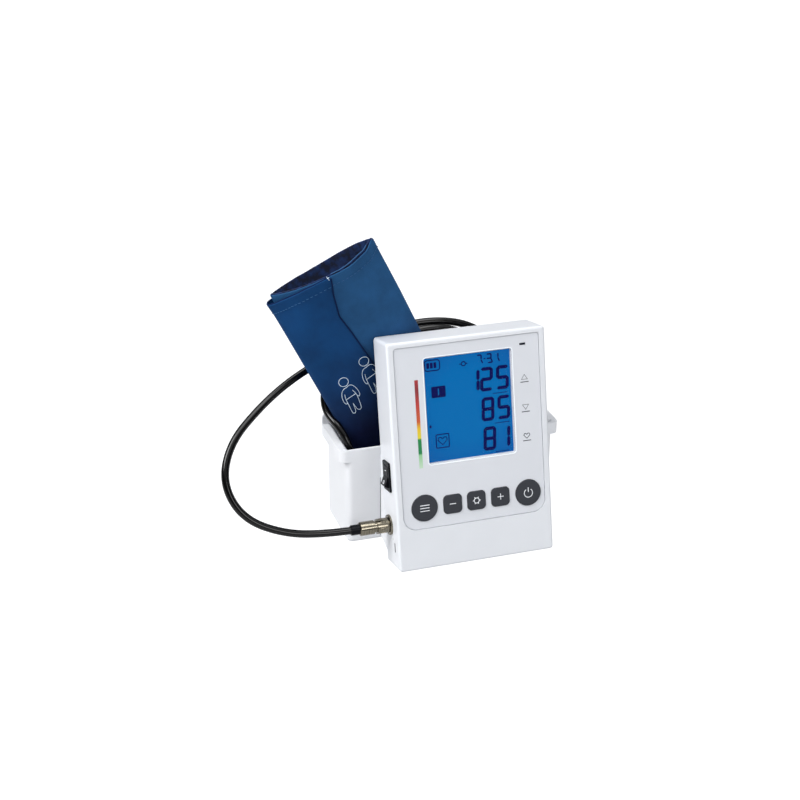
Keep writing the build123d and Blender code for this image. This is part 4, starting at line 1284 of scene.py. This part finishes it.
@dataclass
class Cuff:
    """The rolled cloth cuff, in millimetres: s down from its mouth, w across and t towards the room."""

    mouth: Vector = field(default_factory=lambda: Vector((-109.8, -31.0, 208.3)))
    lean: float = math.radians(25.47)
    half_width: float = 51.75
    length: float = 190.0
    # Thickness of the roll at places down it
    thickness: tuple[Point, ...] = ((0.0, 37.0), (45.0, 29.0), (88.0, 24.0), (190.0, 21.5))
    # How far out the cloth of the mouth lies at places across it, in front and at the back
    front_rim: tuple[Point, ...] = (
        (0.0, 0.0), (0.03, 0.2), (0.085, 0.4), (0.2, 0.72), (0.35, 0.95),
        (0.48, 1.0), (0.6, 0.95), (0.72, 0.82), (0.88, 0.5), (1.0, 0.0),
    )
    back_rim: tuple[Point, ...] = (
        (0.0, 0.0), (0.04, 0.3), (0.12, 0.55), (0.26, 0.8), (0.5, 1.0),
        (0.7, 1.0), (0.88, 0.75), (0.96, 0.45), (1.0, 0.0),
    )
    # How far down the shape of the mouth reaches, how far back its middle lies, and the roll's fullness
    mouth_reach: float = 62.0
    mouth_middle: float = -6.5
    fullness: float = 0.62
    # Depth, place and breadth of the rim's sag in front and at the back, its right end, and its reach down
    front_sag: Triple = (4.6, 0.74, 0.26)
    back_sag: Triple = (2.3, 0.55, 0.4)
    right_sag: float = 1.5
    sag_reach: float = 70.0
    # Ripples of the cloth: height, closeness across and down, and a place in the noise
    ripples: tuple[Row, ...] = ((0.9, 0.035, 0.016, 3.7), (0.35, 0.11, 0.05, 9.1))
    # Folds of the cloth: their start and end, breadth and height
    folds: tuple[Row, ...] = (
        (-30, 40, 8, 150, 9, -0.9),
        (14, 30, 30, 120, 7, 0.8),
        (-4, 18, -9, 44, 3.5, -1.0),
        (-9, 42, 0, 92, 4.0, -1.3),
        (0, 92, 6, 150, 6.0, -0.8),
        (-46, 60, -40, 170, 6, 0.7),
        (28, 6, 36, 60, 6, -0.6),
    )
    # Levels between which the hem thins out, the level of its seam, and the rows of faces there
    hem_end: Point = (7.6, 8.6)
    seam_level: float = 9.0
    hem_rows: Row = (7.2, 8.8, 9.6)
    cloth_thickness: float = 1.3
    lining_thickness: float = 1.1
    # Where the flap's edges lie across: in front at places down the cuff, and at the back
    flap_front: tuple[Point, ...] = (
        (0.0, 0.5), (18.0, -4.3), (40.0, -8.2), (64.0, -5.0), (90.0, -2.5), (190.0, 3.0),
    )
    flap_back: float = -3.75
    # The flap's upper and lower end, and its width on its UV map in metres
    flap_span: Point = (0.2, 176.0)
    flap_width: float = 0.1
    # The air bag's upper end and its length
    bag_span: Point = (14.0, 162.0)
    # Half the thickness of the air bag, and how far in its middle lies
    bag_half: float = 0.62
    bag_depth: float = 2.45
    # Faces round the cuff, the step between its rows, and the number of stitches in its seam
    around: int = 88
    row_step: float = 3.6
    stitch_count: int = 74
    down: Vector = field(init=False)
    wide: Vector = field(init=False)

    def __post_init__(self) -> None:
        """Works out the cuff's own directions."""
        self.down = Vector((math.sin(self.lean), 0, -math.cos(self.lean)))
        self.wide = Vector((math.cos(self.lean), 0, math.sin(self.lean)))

    def place(self, w: float, t: float, s: float) -> Vector:
        """A point of the cuff in the object's frame, in metres."""
        return (self.mouth + self.wide * w + self.down * s + Vector((0, -t, 0))) * MM

    def fold_height(self, w: float, s: float) -> float:
        """How far the cloth stands out of its plain shape.

        Args:
            w: Place across the cuff.
            s: Distance down the cuff.

        Returns:
            The height in millimetres.
        """
        height = 0.0
        for rise, across, along, spot in self.ripples:
            height += rise * noise.noise(Vector((w * across, s * along, spot)))
        for w0, s0, w1, s1, breadth, rise in self.folds:
            run = Vector((w1 - w0, s1 - s0))
            share = min(1.0, max(0.0, ((w - w0) * run.x + (s - s0) * run.y) / run.length_squared))
            away = math.hypot(w - w0 - run.x * share, s - s0 - run.y * share)
            height += rise * swell(away, 0.0, breadth)
        return height * smooth(s, 2, 22)

    def rim_dip(self, turn: float) -> float:
        """How far the rim sags below a straight line, in front or at the back.

        Args:
            turn: Angle round the loop.

        Returns:
            The sag in millimetres.
        """
        share = (1 - math.cos(turn)) / 2
        ends = smooth(share, 0, 0.1) * (1 - smooth(share, 0.9, 1))
        depth, place, breadth = self.front_sag if math.sin(turn) > 0 else self.back_sag
        return self.right_sag * smooth(share, 0.8, 1.0) + depth * swell(share, place, breadth) * ends

    def outline(self, turn: float, s: float) -> Vector:
        """A point of the outer loop.

        Args:
            turn: Angle round the loop: 0 at its left fold, half a turn at its right one, the front between.
            s: Distance down the cuff.

        Returns:
            Its w and t.
        """
        share = (1 - math.cos(turn)) / 2
        w = self.half_width * (2 * share - 1)
        front = math.sin(turn) >= 0
        ease = 1 - smooth(s, 0, self.mouth_reach)
        rim = between(share, self.front_rim if front else self.back_rim)
        shape = rim * ease + abs(math.sin(turn)) ** self.fullness * (1 - ease)
        middle = self.mouth_middle * ease
        thick = between(s, self.thickness)
        reach = thick / 2 - middle if front else thick / 2 + middle
        t = middle + shape * reach * (1 if front else -1)
        weight = min(1.0, abs(math.sin(turn)) * 2.0)
        # The back takes its folds from a stretch of the noise well below that of the front
        t += self.fold_height(w, s if front else s + 300) * weight * (1 if front else -0.8)
        return Vector((w, t))

    def skin(self, turn: float, s: float, out: float) -> Vector:
        """A point off the outer loop, square to it.

        Args:
            turn: Angle round the loop.
            s: Distance down the cuff.
            out: How far off the loop, in millimetres.

        Returns:
            The point in metres.
        """
        step = 0.02
        s += self.rim_dip(turn) * (1 - smooth(s, 0, self.sag_reach))
        here = self.outline(turn, s)
        way = self.outline(turn + step, s) - self.outline(turn - step, s)
        if way.length < 1e-9:
            way = Vector((0.0, 1.0))
        way.normalize()
        return self.place(here.x - way.y * out, here.y + way.x * out, s)

    def mark(self, turn: float, s: float, out: float) -> Row:
        """The same point in millimetres."""
        return tuple(self.skin(turn, s, out) / MM)

    def turn_at(self, w: float) -> float:
        """The angle round the loop at a place across its front."""
        return math.acos(max(-1.0, min(1.0, -w / self.half_width)))

    def tube(self, name: str, out: Callable[[float, float], float], stations: Sequence[float]) -> Piece:
        """A closed sleeve of cloth round the cuff, one face thick.

        Args:
            name: The piece's name.
            out: Gives how far the cloth stands off the outer loop at a turn and a distance down.
            stations: Distances down the cuff of its rows.

        Returns:
            The sleeve, with its girth and length in metres as its UV map.
        """
        turns = [2 * math.pi * k / self.around for k in range(self.around + 1)]
        rim = [self.skin(turn, stations[0], 0) for turn in turns]
        girth = [0.0]
        for last, here in zip(rim, rim[1:]):
            girth.append(girth[-1] + (here - last).length)
        rows = [[self.skin(turn, s, out(turn, s)) for turn in turns[:-1]] for s in stations]
        mesh = bmesh.new()
        Bench.quilt(mesh, rows, (girth, [s * MM for s in stations]))
        return Bench.keep(name, mesh)

    def thicken(self, piece: Piece, thickness: float) -> Piece:
        """Gives a sheet of cloth its thickness, inwards, and rounds it.

        Args:
            piece: The sheet.
            thickness: The thickness in millimetres.

        Returns:
            The same piece.
        """
        Bench.hold(piece)
        wall = piece.modifiers.new("wall", "SOLIDIFY")
        wall.thickness = thickness * MM
        wall.offset = -1.0
        rounder = piece.modifiers.new("rounder", "SUBSURF")
        rounder.levels = rounder.render_levels = 1
        for modifier in (wall.name, rounder.name):
            bpy.ops.object.modifier_apply(modifier=modifier)
        Bench.clear()
        return piece

    def stations(self, start: float, end: float) -> list[float]:
        """Rows down the cuff, closer together at their two ends.

        Args:
            start: Distance down of the first row.
            end: Distance down of the last row.

        Returns:
            The distances of all the rows.
        """
        count = round((end - start) / self.row_step)
        inner = [start + (end - start) * k / count for k in range(1, count)]
        return [start, start + 0.5, *inner, end - 0.5, end]

    def cover_out(self, turn: float, s: float) -> float:
        """The hem of the cover stands a little proud down to its seam."""
        return 0.14 * (1 - smooth(s, *self.hem_end)) - 0.2

    def cover(self) -> Piece:
        """The outer sleeve of woven cloth, thicker along the hem at its mouth."""
        stations = sorted([*self.stations(0, self.length), *self.hem_rows])
        return self.thicken(self.tube("cuff_outer_cloth", self.cover_out, stations), self.cloth_thickness)

    def lining_out(self, turn: float, s: float) -> float:
        """The lining lies behind the rim, looser at the right in front, and makes room for the air bag.

        Args:
            turn: Angle round the loop.
            s: Distance down the cuff.

        Returns:
            How far it stands off the outer loop.
        """
        loose = 2.5 * swell(turn, 2.2, 0.5) * (1 - smooth(s, 4, 20))
        ripple = 0.35 * noise.noise(Vector((turn * 3, s * 0.09, 1.3)))
        return ripple - 1.7 - loose - 2.2 * smooth(s, 6, 24)

    def lining(self) -> Piece:
        """The brushed inner sleeve, close behind the rim and further in below."""
        stations = self.stations(-0.7, self.length - 0.6)
        return self.thicken(self.tube("cuff_inner_cloth", self.lining_out, stations), self.lining_thickness)

    def flap_out(self, turn: float, s: float) -> float:
        """The flap lies on the cover and stands off it at the left fold.

        Args:
            turn: Angle round the loop.
            s: Distance down the cuff.

        Returns:
            How far it stands off the outer loop.
        """
        loose = 3.4 * (1.0 - 0.45 * smooth(s, 20, 150)) + 2.4 * math.exp(-s / 14)
        lift = 1.1 * (1 - smooth(s, 0, 16)) * swell(turn, 0.5, 0.7)
        return 1.5 + loose * swell(turn, 0.0, 0.42) + lift

    def on_flap(self, turn: float, s: float, lift: float) -> Row:
        """A point on the flap, lifted off it, in millimetres."""
        return self.mark(turn, s, self.flap_out(turn, s) + lift)

    def flap_drop(self, turn: float) -> float:
        """How much lower the rim of the flap hangs than that of the cover."""
        return 6.0 * max(0.0, math.cos(turn)) ** 1.5

    def flap_turn(self, share: float, s: float) -> float:
        """The angle round the loop at a share of the flap's width, from its edge at the back to its front."""
        back = -self.turn_at(self.flap_back)
        return back + (self.turn_at(between(s, self.flap_front)) - back) * share

    def flap(self) -> Piece:
        """Builds the closing flap, wrapped round the left edge to the front.

        Returns:
            The flap.
        """
        count, stations = 56, self.stations(*self.flap_span)
        rows = []
        for level in stations:
            hem = 0.25 * (1 - smooth(level, *self.hem_end))
            row = []
            for k in range(count + 1):
                turn = self.flap_turn(k / count, level)
                s = level + self.flap_drop(turn) * (1 - level / self.length)
                rounding = 0.5 * (1 - smooth(min(k, count - k), 0, 2))
                row.append(self.skin(turn, s, self.flap_out(turn, s) + hem - rounding))
            rows.append(row)
        across = [k / count * self.flap_width for k in range(count + 1)]
        mesh = bmesh.new()
        Bench.quilt(mesh, rows, (across, [s * MM for s in stations]))
        return self.thicken(Bench.keep("cuff_closing_flap", mesh), self.cloth_thickness)

    def air_bag(self) -> Piece:
        """Builds the flat rubber bag between the cover and the lining, thickest at its middle.

        Returns:
            The bag.
        """
        columns, levels = 36, 40
        start, length = self.bag_span
        reach = math.asin(0.8)
        mesh = bmesh.new()
        for side in (1, -1):
            rows = []
            for j in range(levels + 1):
                s = start + length * j / levels
                row = []
                for i in range(columns + 1):
                    turn = math.pi / 2 - reach + 2 * reach * i / columns
                    inset = min(6 * min(i, columns - i) / columns, 6 * min(j, levels - j) / levels)
                    half = self.bag_half * min(1.0, inset) ** 0.5
                    row.append(self.skin(turn, s, side * half - self.bag_depth))
                rows.append(row)
            Bench.quilt(mesh, rows, flip=side < 0)
        bmesh.ops.remove_doubles(mesh, verts=mesh.verts, dist=1e-6)
        return Bench.keep("cuff_air_bag", mesh)

    def stitches(self) -> Piece:
        """Builds the seam under the hem, all round.

        Returns:
            The seam.
        """
        Bench.clear()
        lying = (0, math.pi / 2, 0)
        bpy.ops.mesh.primitive_cylinder_add(vertices=6, radius=0.28 * MM, depth=1.0 * MM, rotation=lying)
        stitch = bpy.context.object
        bpy.ops.object.transform_apply(location=False, rotation=True, scale=False)
        bpy.ops.object.mode_set(mode="EDIT")
        bpy.ops.mesh.select_all(action="SELECT")
        bpy.ops.mesh.bevel(offset=0.1 * MM, segments=1, affect="EDGES")
        bpy.ops.object.mode_set(mode="OBJECT")
        half, stretch = 0.03, Matrix.Diagonal((2.4, 1.0, 0.7, 1.0))
        made = []
        for k in range(self.stitch_count):
            turn = 2 * math.pi * (k + 0.5) / self.stitch_count
            if turn > math.pi:
                turn -= 2 * math.pi
            s, out = self.seam_level, 0.05
            if self.flap_turn(0.0, s) < turn < self.flap_turn(1.0, s):
                s += self.flap_drop(turn)
                out = self.flap_out(turn, s) + 0.3
            a, b = self.skin(turn - half, s, out), self.skin(turn + half, s, out)
            up = self.skin(turn, s, out + 1.0) - self.skin(turn, s, out)
            x = (b - a).normalized()
            z = (up - x * up.dot(x)).normalized()
            lie = Matrix((x, z.cross(x), z)).transposed().to_4x4()
            copy = Bench.twin(stitch, f"stitch_{k}")
            copy.matrix_world = Matrix.Translation((a + b) / 2) @ lie @ stretch
            made.append(copy)
        bpy.data.objects.remove(stitch)
        return Bench.settle(Bench.join("cuff_seams", made), Matrix.Identity(4))

    def figures(self) -> Piece:
        """Prints two plain outline signs on the cloth, each a standing figure.

        Returns:
            The two signs.
        """
        standing = [
            arc((-2.9, 14.6), 4.4, 0, 360, 24),
            rounded([
                (-3.0, 8.4), (-6.2, 8.0), (-9.0, 5.6), (-10.8, 0.8),
                (-11.0, -4.0), (-9.8, -6.6), (-8.6, -5.2),
            ]),
            rounded([(-8.6, -5.2), (-8.4, -1.2), (-7.4, 3.0)]),
            rounded([(-3.0, 8.4), (0.2, 9.2), (3.2, 7.0), (4.9, 1.6), (4.9, -3.4), (3.4, -5.2), (2.2, -3.8)]),
            rounded([(2.2, -3.8), (1.8, -0.6), (0.6, 3.4)]),
            [(-8.4, -2.4), (2.0, -1.4)],
            rounded([(-8.6, -5.2), (-8.9, -16.2), (-8.0, -18.4), (-6.2, -18.2), (-5.2, -15.4), (-4.4, -8.8)]),
            rounded([(-4.4, -8.8), (-3.6, -15.2), (-2.2, -17.6), (-0.2, -17.2), (0.8, -14.8), (2.2, -3.8)]),
        ]
        made = []
        for w, s in ((-29.8, 115.4), (-5.2, 107.4)):
            drawn = []
            for line in standing:
                drawn.append([self.on_flap(self.turn_at(w + x), s - y, 0.05) for x, y in line])
            made.append(Bench.strokes("printed_figure", drawn, 0.47))
        return Bench.join("cuff_printed_figures", made)

    def painted_edge_lines(self) -> tuple[Piece, Piece]:
        """Builds the dark line of painted shadow along the flap's free edge and rim, and the light line of
        painted highlight along the lining's loose rim.

        Returns:
            The painted shadow of the flap and the painted highlight of the lining.
        """
        count, level = 56, 1.6
        side, rim, loose = [], [], []
        for k in range(count + 1):
            share = k / count
            s = level + 171.0 * share
            turn = self.flap_turn(1.0, s)
            # Painted shadow along the flap's free edge, where it stands off the cover
            side.append(self.on_flap(turn, s, -0.5))
            turn = self.flap_turn(0.995 - 0.6 * share, level)
            # Painted shadow under the flap's rim, between it and the cover's rim band
            rim.append(self.on_flap(turn, self.flap_drop(turn), -1.3))
            turn = 1.62 + share
            # Painted highlight: a light blue line where light catches the lining's loose rim
            loose.append(self.mark(turn, -0.8, self.lining_out(turn, -0.7) - 0.55))
        dark = Bench.strokes("cuff_flap_edge_shadow", [side, rim], 1.3)
        return dark, Bench.strokes("cuff_lining_rim_highlight", [loose], 0.9)

    def thread_ends(self) -> Piece:
        """Builds the loose ends of the hem's thread, where the edge of the flap meets the rim.

        Returns:
            The threads.
        """
        lines = []
        for w0, s0, w1, s1 in ((-2.6, -2.6, -1.9, 0.6), (-2.8, -0.6, -1.2, -1.0), (-1.9, 0.4, -2.1, 1.6)):
            line = []
            for share in (0.0, 0.5, 1.0):
                turn = self.turn_at(w0 + (w1 - w0) * share)
                line.append(self.mark(turn, s0 + (s1 - s0) * share, 2.3 + 0.4 * share))
            lines.append(line)
        return Bench.strokes("cuff_thread_ends", lines, 0.55)

    def build(self) -> None:
        """Builds every piece of the cuff and lets it ride on the station."""
        for piece, finish, node, slot, fill in (
            (self.cover(), Finish.CLOTH, "cuff_cover", "cuff_blue", 0.25),
            (self.lining(), Finish.PILE, "cuff_lining", "cuff_dark", 0.2),
            (self.flap(), Finish.FLAP, "cuff_flap", "cuff_blue", 0.2),
            (self.air_bag(), Finish.BLADDER, "cuff_bladder", "bladder_rubber", 0.3),
        ):
            finish.dress(piece)
            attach(piece, "station")
            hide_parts(node)
            LOG.info("cuff piece %s with %d faces", piece.name, len(piece.data.polygons))
        trims_and_painted_light = (self.stitches(), *self.painted_edge_lines(), self.figures(), self.thread_ends())
        finishes = (Finish.THREAD, Finish.TAPE, Finish.THREAD, Finish.PALE_INK, Finish.PALE_INK)
        for piece, finish in zip(trims_and_painted_light, finishes):
            finish.dress(piece)
            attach(piece, "station")
            LOG.info("cuff piece %s with %d faces", piece.name, len(piece.data.polygons))


@dataclass
class Studio:
    """The camera, the soft lights and the pale floor."""

    eye: Triple = (-0.435, -1.256, 0.658)
    azimuth: float = 17.9
    elevation: float = 24.44
    roll: float = 0.15
    lens: float = 69.3
    # Each lamp's place, width and power, and the spot that they all face
    lamps: tuple[tuple[str, Triple, float, float], ...] = (
        ("key_lamp", (-1.45, -0.25, 1.5), 1.0, 35.0),
        ("front_lamp", (0.6, -2.2, 0.9), 0.8, 9.5),
    )
    aim: Triple = (0, -0.06, 0.06)
    sky: Row = (0.93, 0.96, 1.0, 1.0)
    sky_strength: float = 0.63
    # Brightness of the sky that reflections show, from straight down to straight up
    mirrored: tuple[Point, ...] = (
        (0.36, 0.55), (0.46, 0.06), (0.74, 0.08), (0.82, 0.7), (0.93, 0.9), (0.955, 5.0),
    )
    floor_level: float = -0.3
    floor_grey: float = 0.48
    # Own light of the floor before the camera, and the share of it that reflections show
    floor_light: float = 0.74
    floor_mirrored: float = 0.35

    def camera(self) -> None:
        """Puts the camera where the photograph's was."""
        az, el, roll = (math.radians(x) for x in (self.azimuth, self.elevation, self.roll))
        ahead = Vector((math.sin(az) * math.cos(el), math.cos(az) * math.cos(el), -math.sin(el)))
        right = ahead.cross(Vector((0, 0, 1))).normalized()
        up = right.cross(ahead)
        across = right * math.cos(roll) + up * math.sin(roll)
        over = up * math.cos(roll) - right * math.sin(roll)
        data = bpy.data.cameras.new("camera")
        data.lens = self.lens
        data.sensor_width = 36.0
        data.clip_start, data.clip_end = 0.05, 50.0
        camera = Bench.link("camera", data)
        turn = Matrix((across, over, -ahead)).transposed().to_4x4()
        camera.matrix_world = Matrix.Translation(self.eye) @ turn
        bpy.context.scene.camera = camera
        bpy.context.scene.view_settings.view_transform = "Standard"

    def lamp(self, name: str, spot: Sequence[float], size: float, power: float) -> None:
        """Hangs a soft square lamp that faces the object.

        Args:
            name: Its name.
            spot: Its place in metres.
            size: Its width in metres.
            power: Its power in watts.
        """
        data = bpy.data.lights.new(name, "AREA")
        data.shape = "SQUARE"
        data.size = size
        data.energy = power
        lamp = Bench.link(name, data)
        lamp.location = spot
        lamp.rotation_euler = (Vector(self.aim) - Vector(spot)).to_track_quat("-Z", "Y").to_euler()

    def world(self) -> None:
        """A plain pale sky, white behind the object, with a dark band that only shows in reflections."""
        world = bpy.data.worlds.new("sky")
        bpy.context.scene.world = world
        world.use_nodes = True
        nodes, link = world.node_tree.nodes, world.node_tree.links.new
        height = nodes.new("ShaderNodeSeparateXYZ")
        link(nodes.new("ShaderNodeTexCoord").outputs["Generated"], height.inputs["Vector"])
        share = nodes.new("ShaderNodeMapRange")
        share.inputs["From Min"].default_value = -1.0
        link(height.outputs["Z"], share.inputs["Value"])
        ramp = nodes.new("ShaderNodeValToRGB")
        link(share.outputs["Result"], ramp.inputs["Fac"])
        stops = ramp.color_ramp.elements
        peak = max(level for _, level in self.mirrored)
        for place, level in self.mirrored:
            stops.new(place).color = (level / peak, level / peak, level / peak, 1.0)
        for end in (0, -1):
            stops.remove(stops[end])
        path = nodes.new("ShaderNodeLightPath")
        last = nodes["Background"]
        last.inputs["Color"].default_value = self.sky
        last.inputs["Strength"].default_value = self.sky_strength
        for ray, strength in (("Is Glossy Ray", peak), ("Is Camera Ray", 1.0)):
            other = nodes.new("ShaderNodeBackground")
            other.inputs["Color"].default_value = (1.0, 1.0, 1.0, 1.0)
            other.inputs["Strength"].default_value = strength
            mix = nodes.new("ShaderNodeMixShader")
            link(path.outputs[ray], mix.inputs["Fac"])
            link(last.outputs[0], mix.inputs[1])
            link(other.outputs["Background"], mix.inputs[2])
            if ray == "Is Glossy Ray":
                link(ramp.outputs["Color"], other.inputs["Color"])
            last = mix
        link(last.outputs["Shader"], nodes["World Output"].inputs["Surface"])

    def floor(self) -> None:
        """A wide pale floor that keeps the object's soft shadow."""
        Bench.clear()
        bpy.ops.mesh.primitive_plane_add(size=40.0, location=(0, 0, self.floor_level))
        floor = bpy.context.object
        floor.name = "floor"
        shader = Shader("floor_white", 0.9)
        shader.put(shader.skin, Base_Color=(*[self.floor_grey] * 3, 1.0), Emission_Color=(1, 1, 1, 1))
        path = shader.add("ShaderNodeLightPath")
        dimmed = shader.reckon("MULTIPLY", path.outputs["Is Glossy Ray"], self.floor_mirrored)
        share = shader.reckon("MAXIMUM", path.outputs["Is Camera Ray"], dimmed)
        shader.spread(share, 0.0, self.floor_light, shader.skin.inputs["Emission Strength"])
        floor.data.materials.append(shader.material)
        Bench.clear()

    def build(self) -> None:
        """Sets up the studio."""
        self.camera()
        self.world()
        for lamp in self.lamps:
            self.lamp(*lamp)
        self.floor()
        LOG.info("studio with %d lamps", len(self.lamps))


def dress_nodes() -> None:
    """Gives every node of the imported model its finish."""
    for finish, names in NODE_FINISHES.items():
        for name in names:
            finish.dress(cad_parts[name])


def main() -> None:
    """Builds the studio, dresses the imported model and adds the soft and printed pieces."""
    logging.basicConfig(level=logging.INFO, format="%(name)s: %(message)s")
    Bench.clear()
    Studio().build()
    cuff = Cuff()
    Hose().build(cuff)
    dress_nodes()
    cuff.build()
    Display().build()
    Keys().build()
    BracketGapShadow().build()


if __name__ == "__main__":
    main()
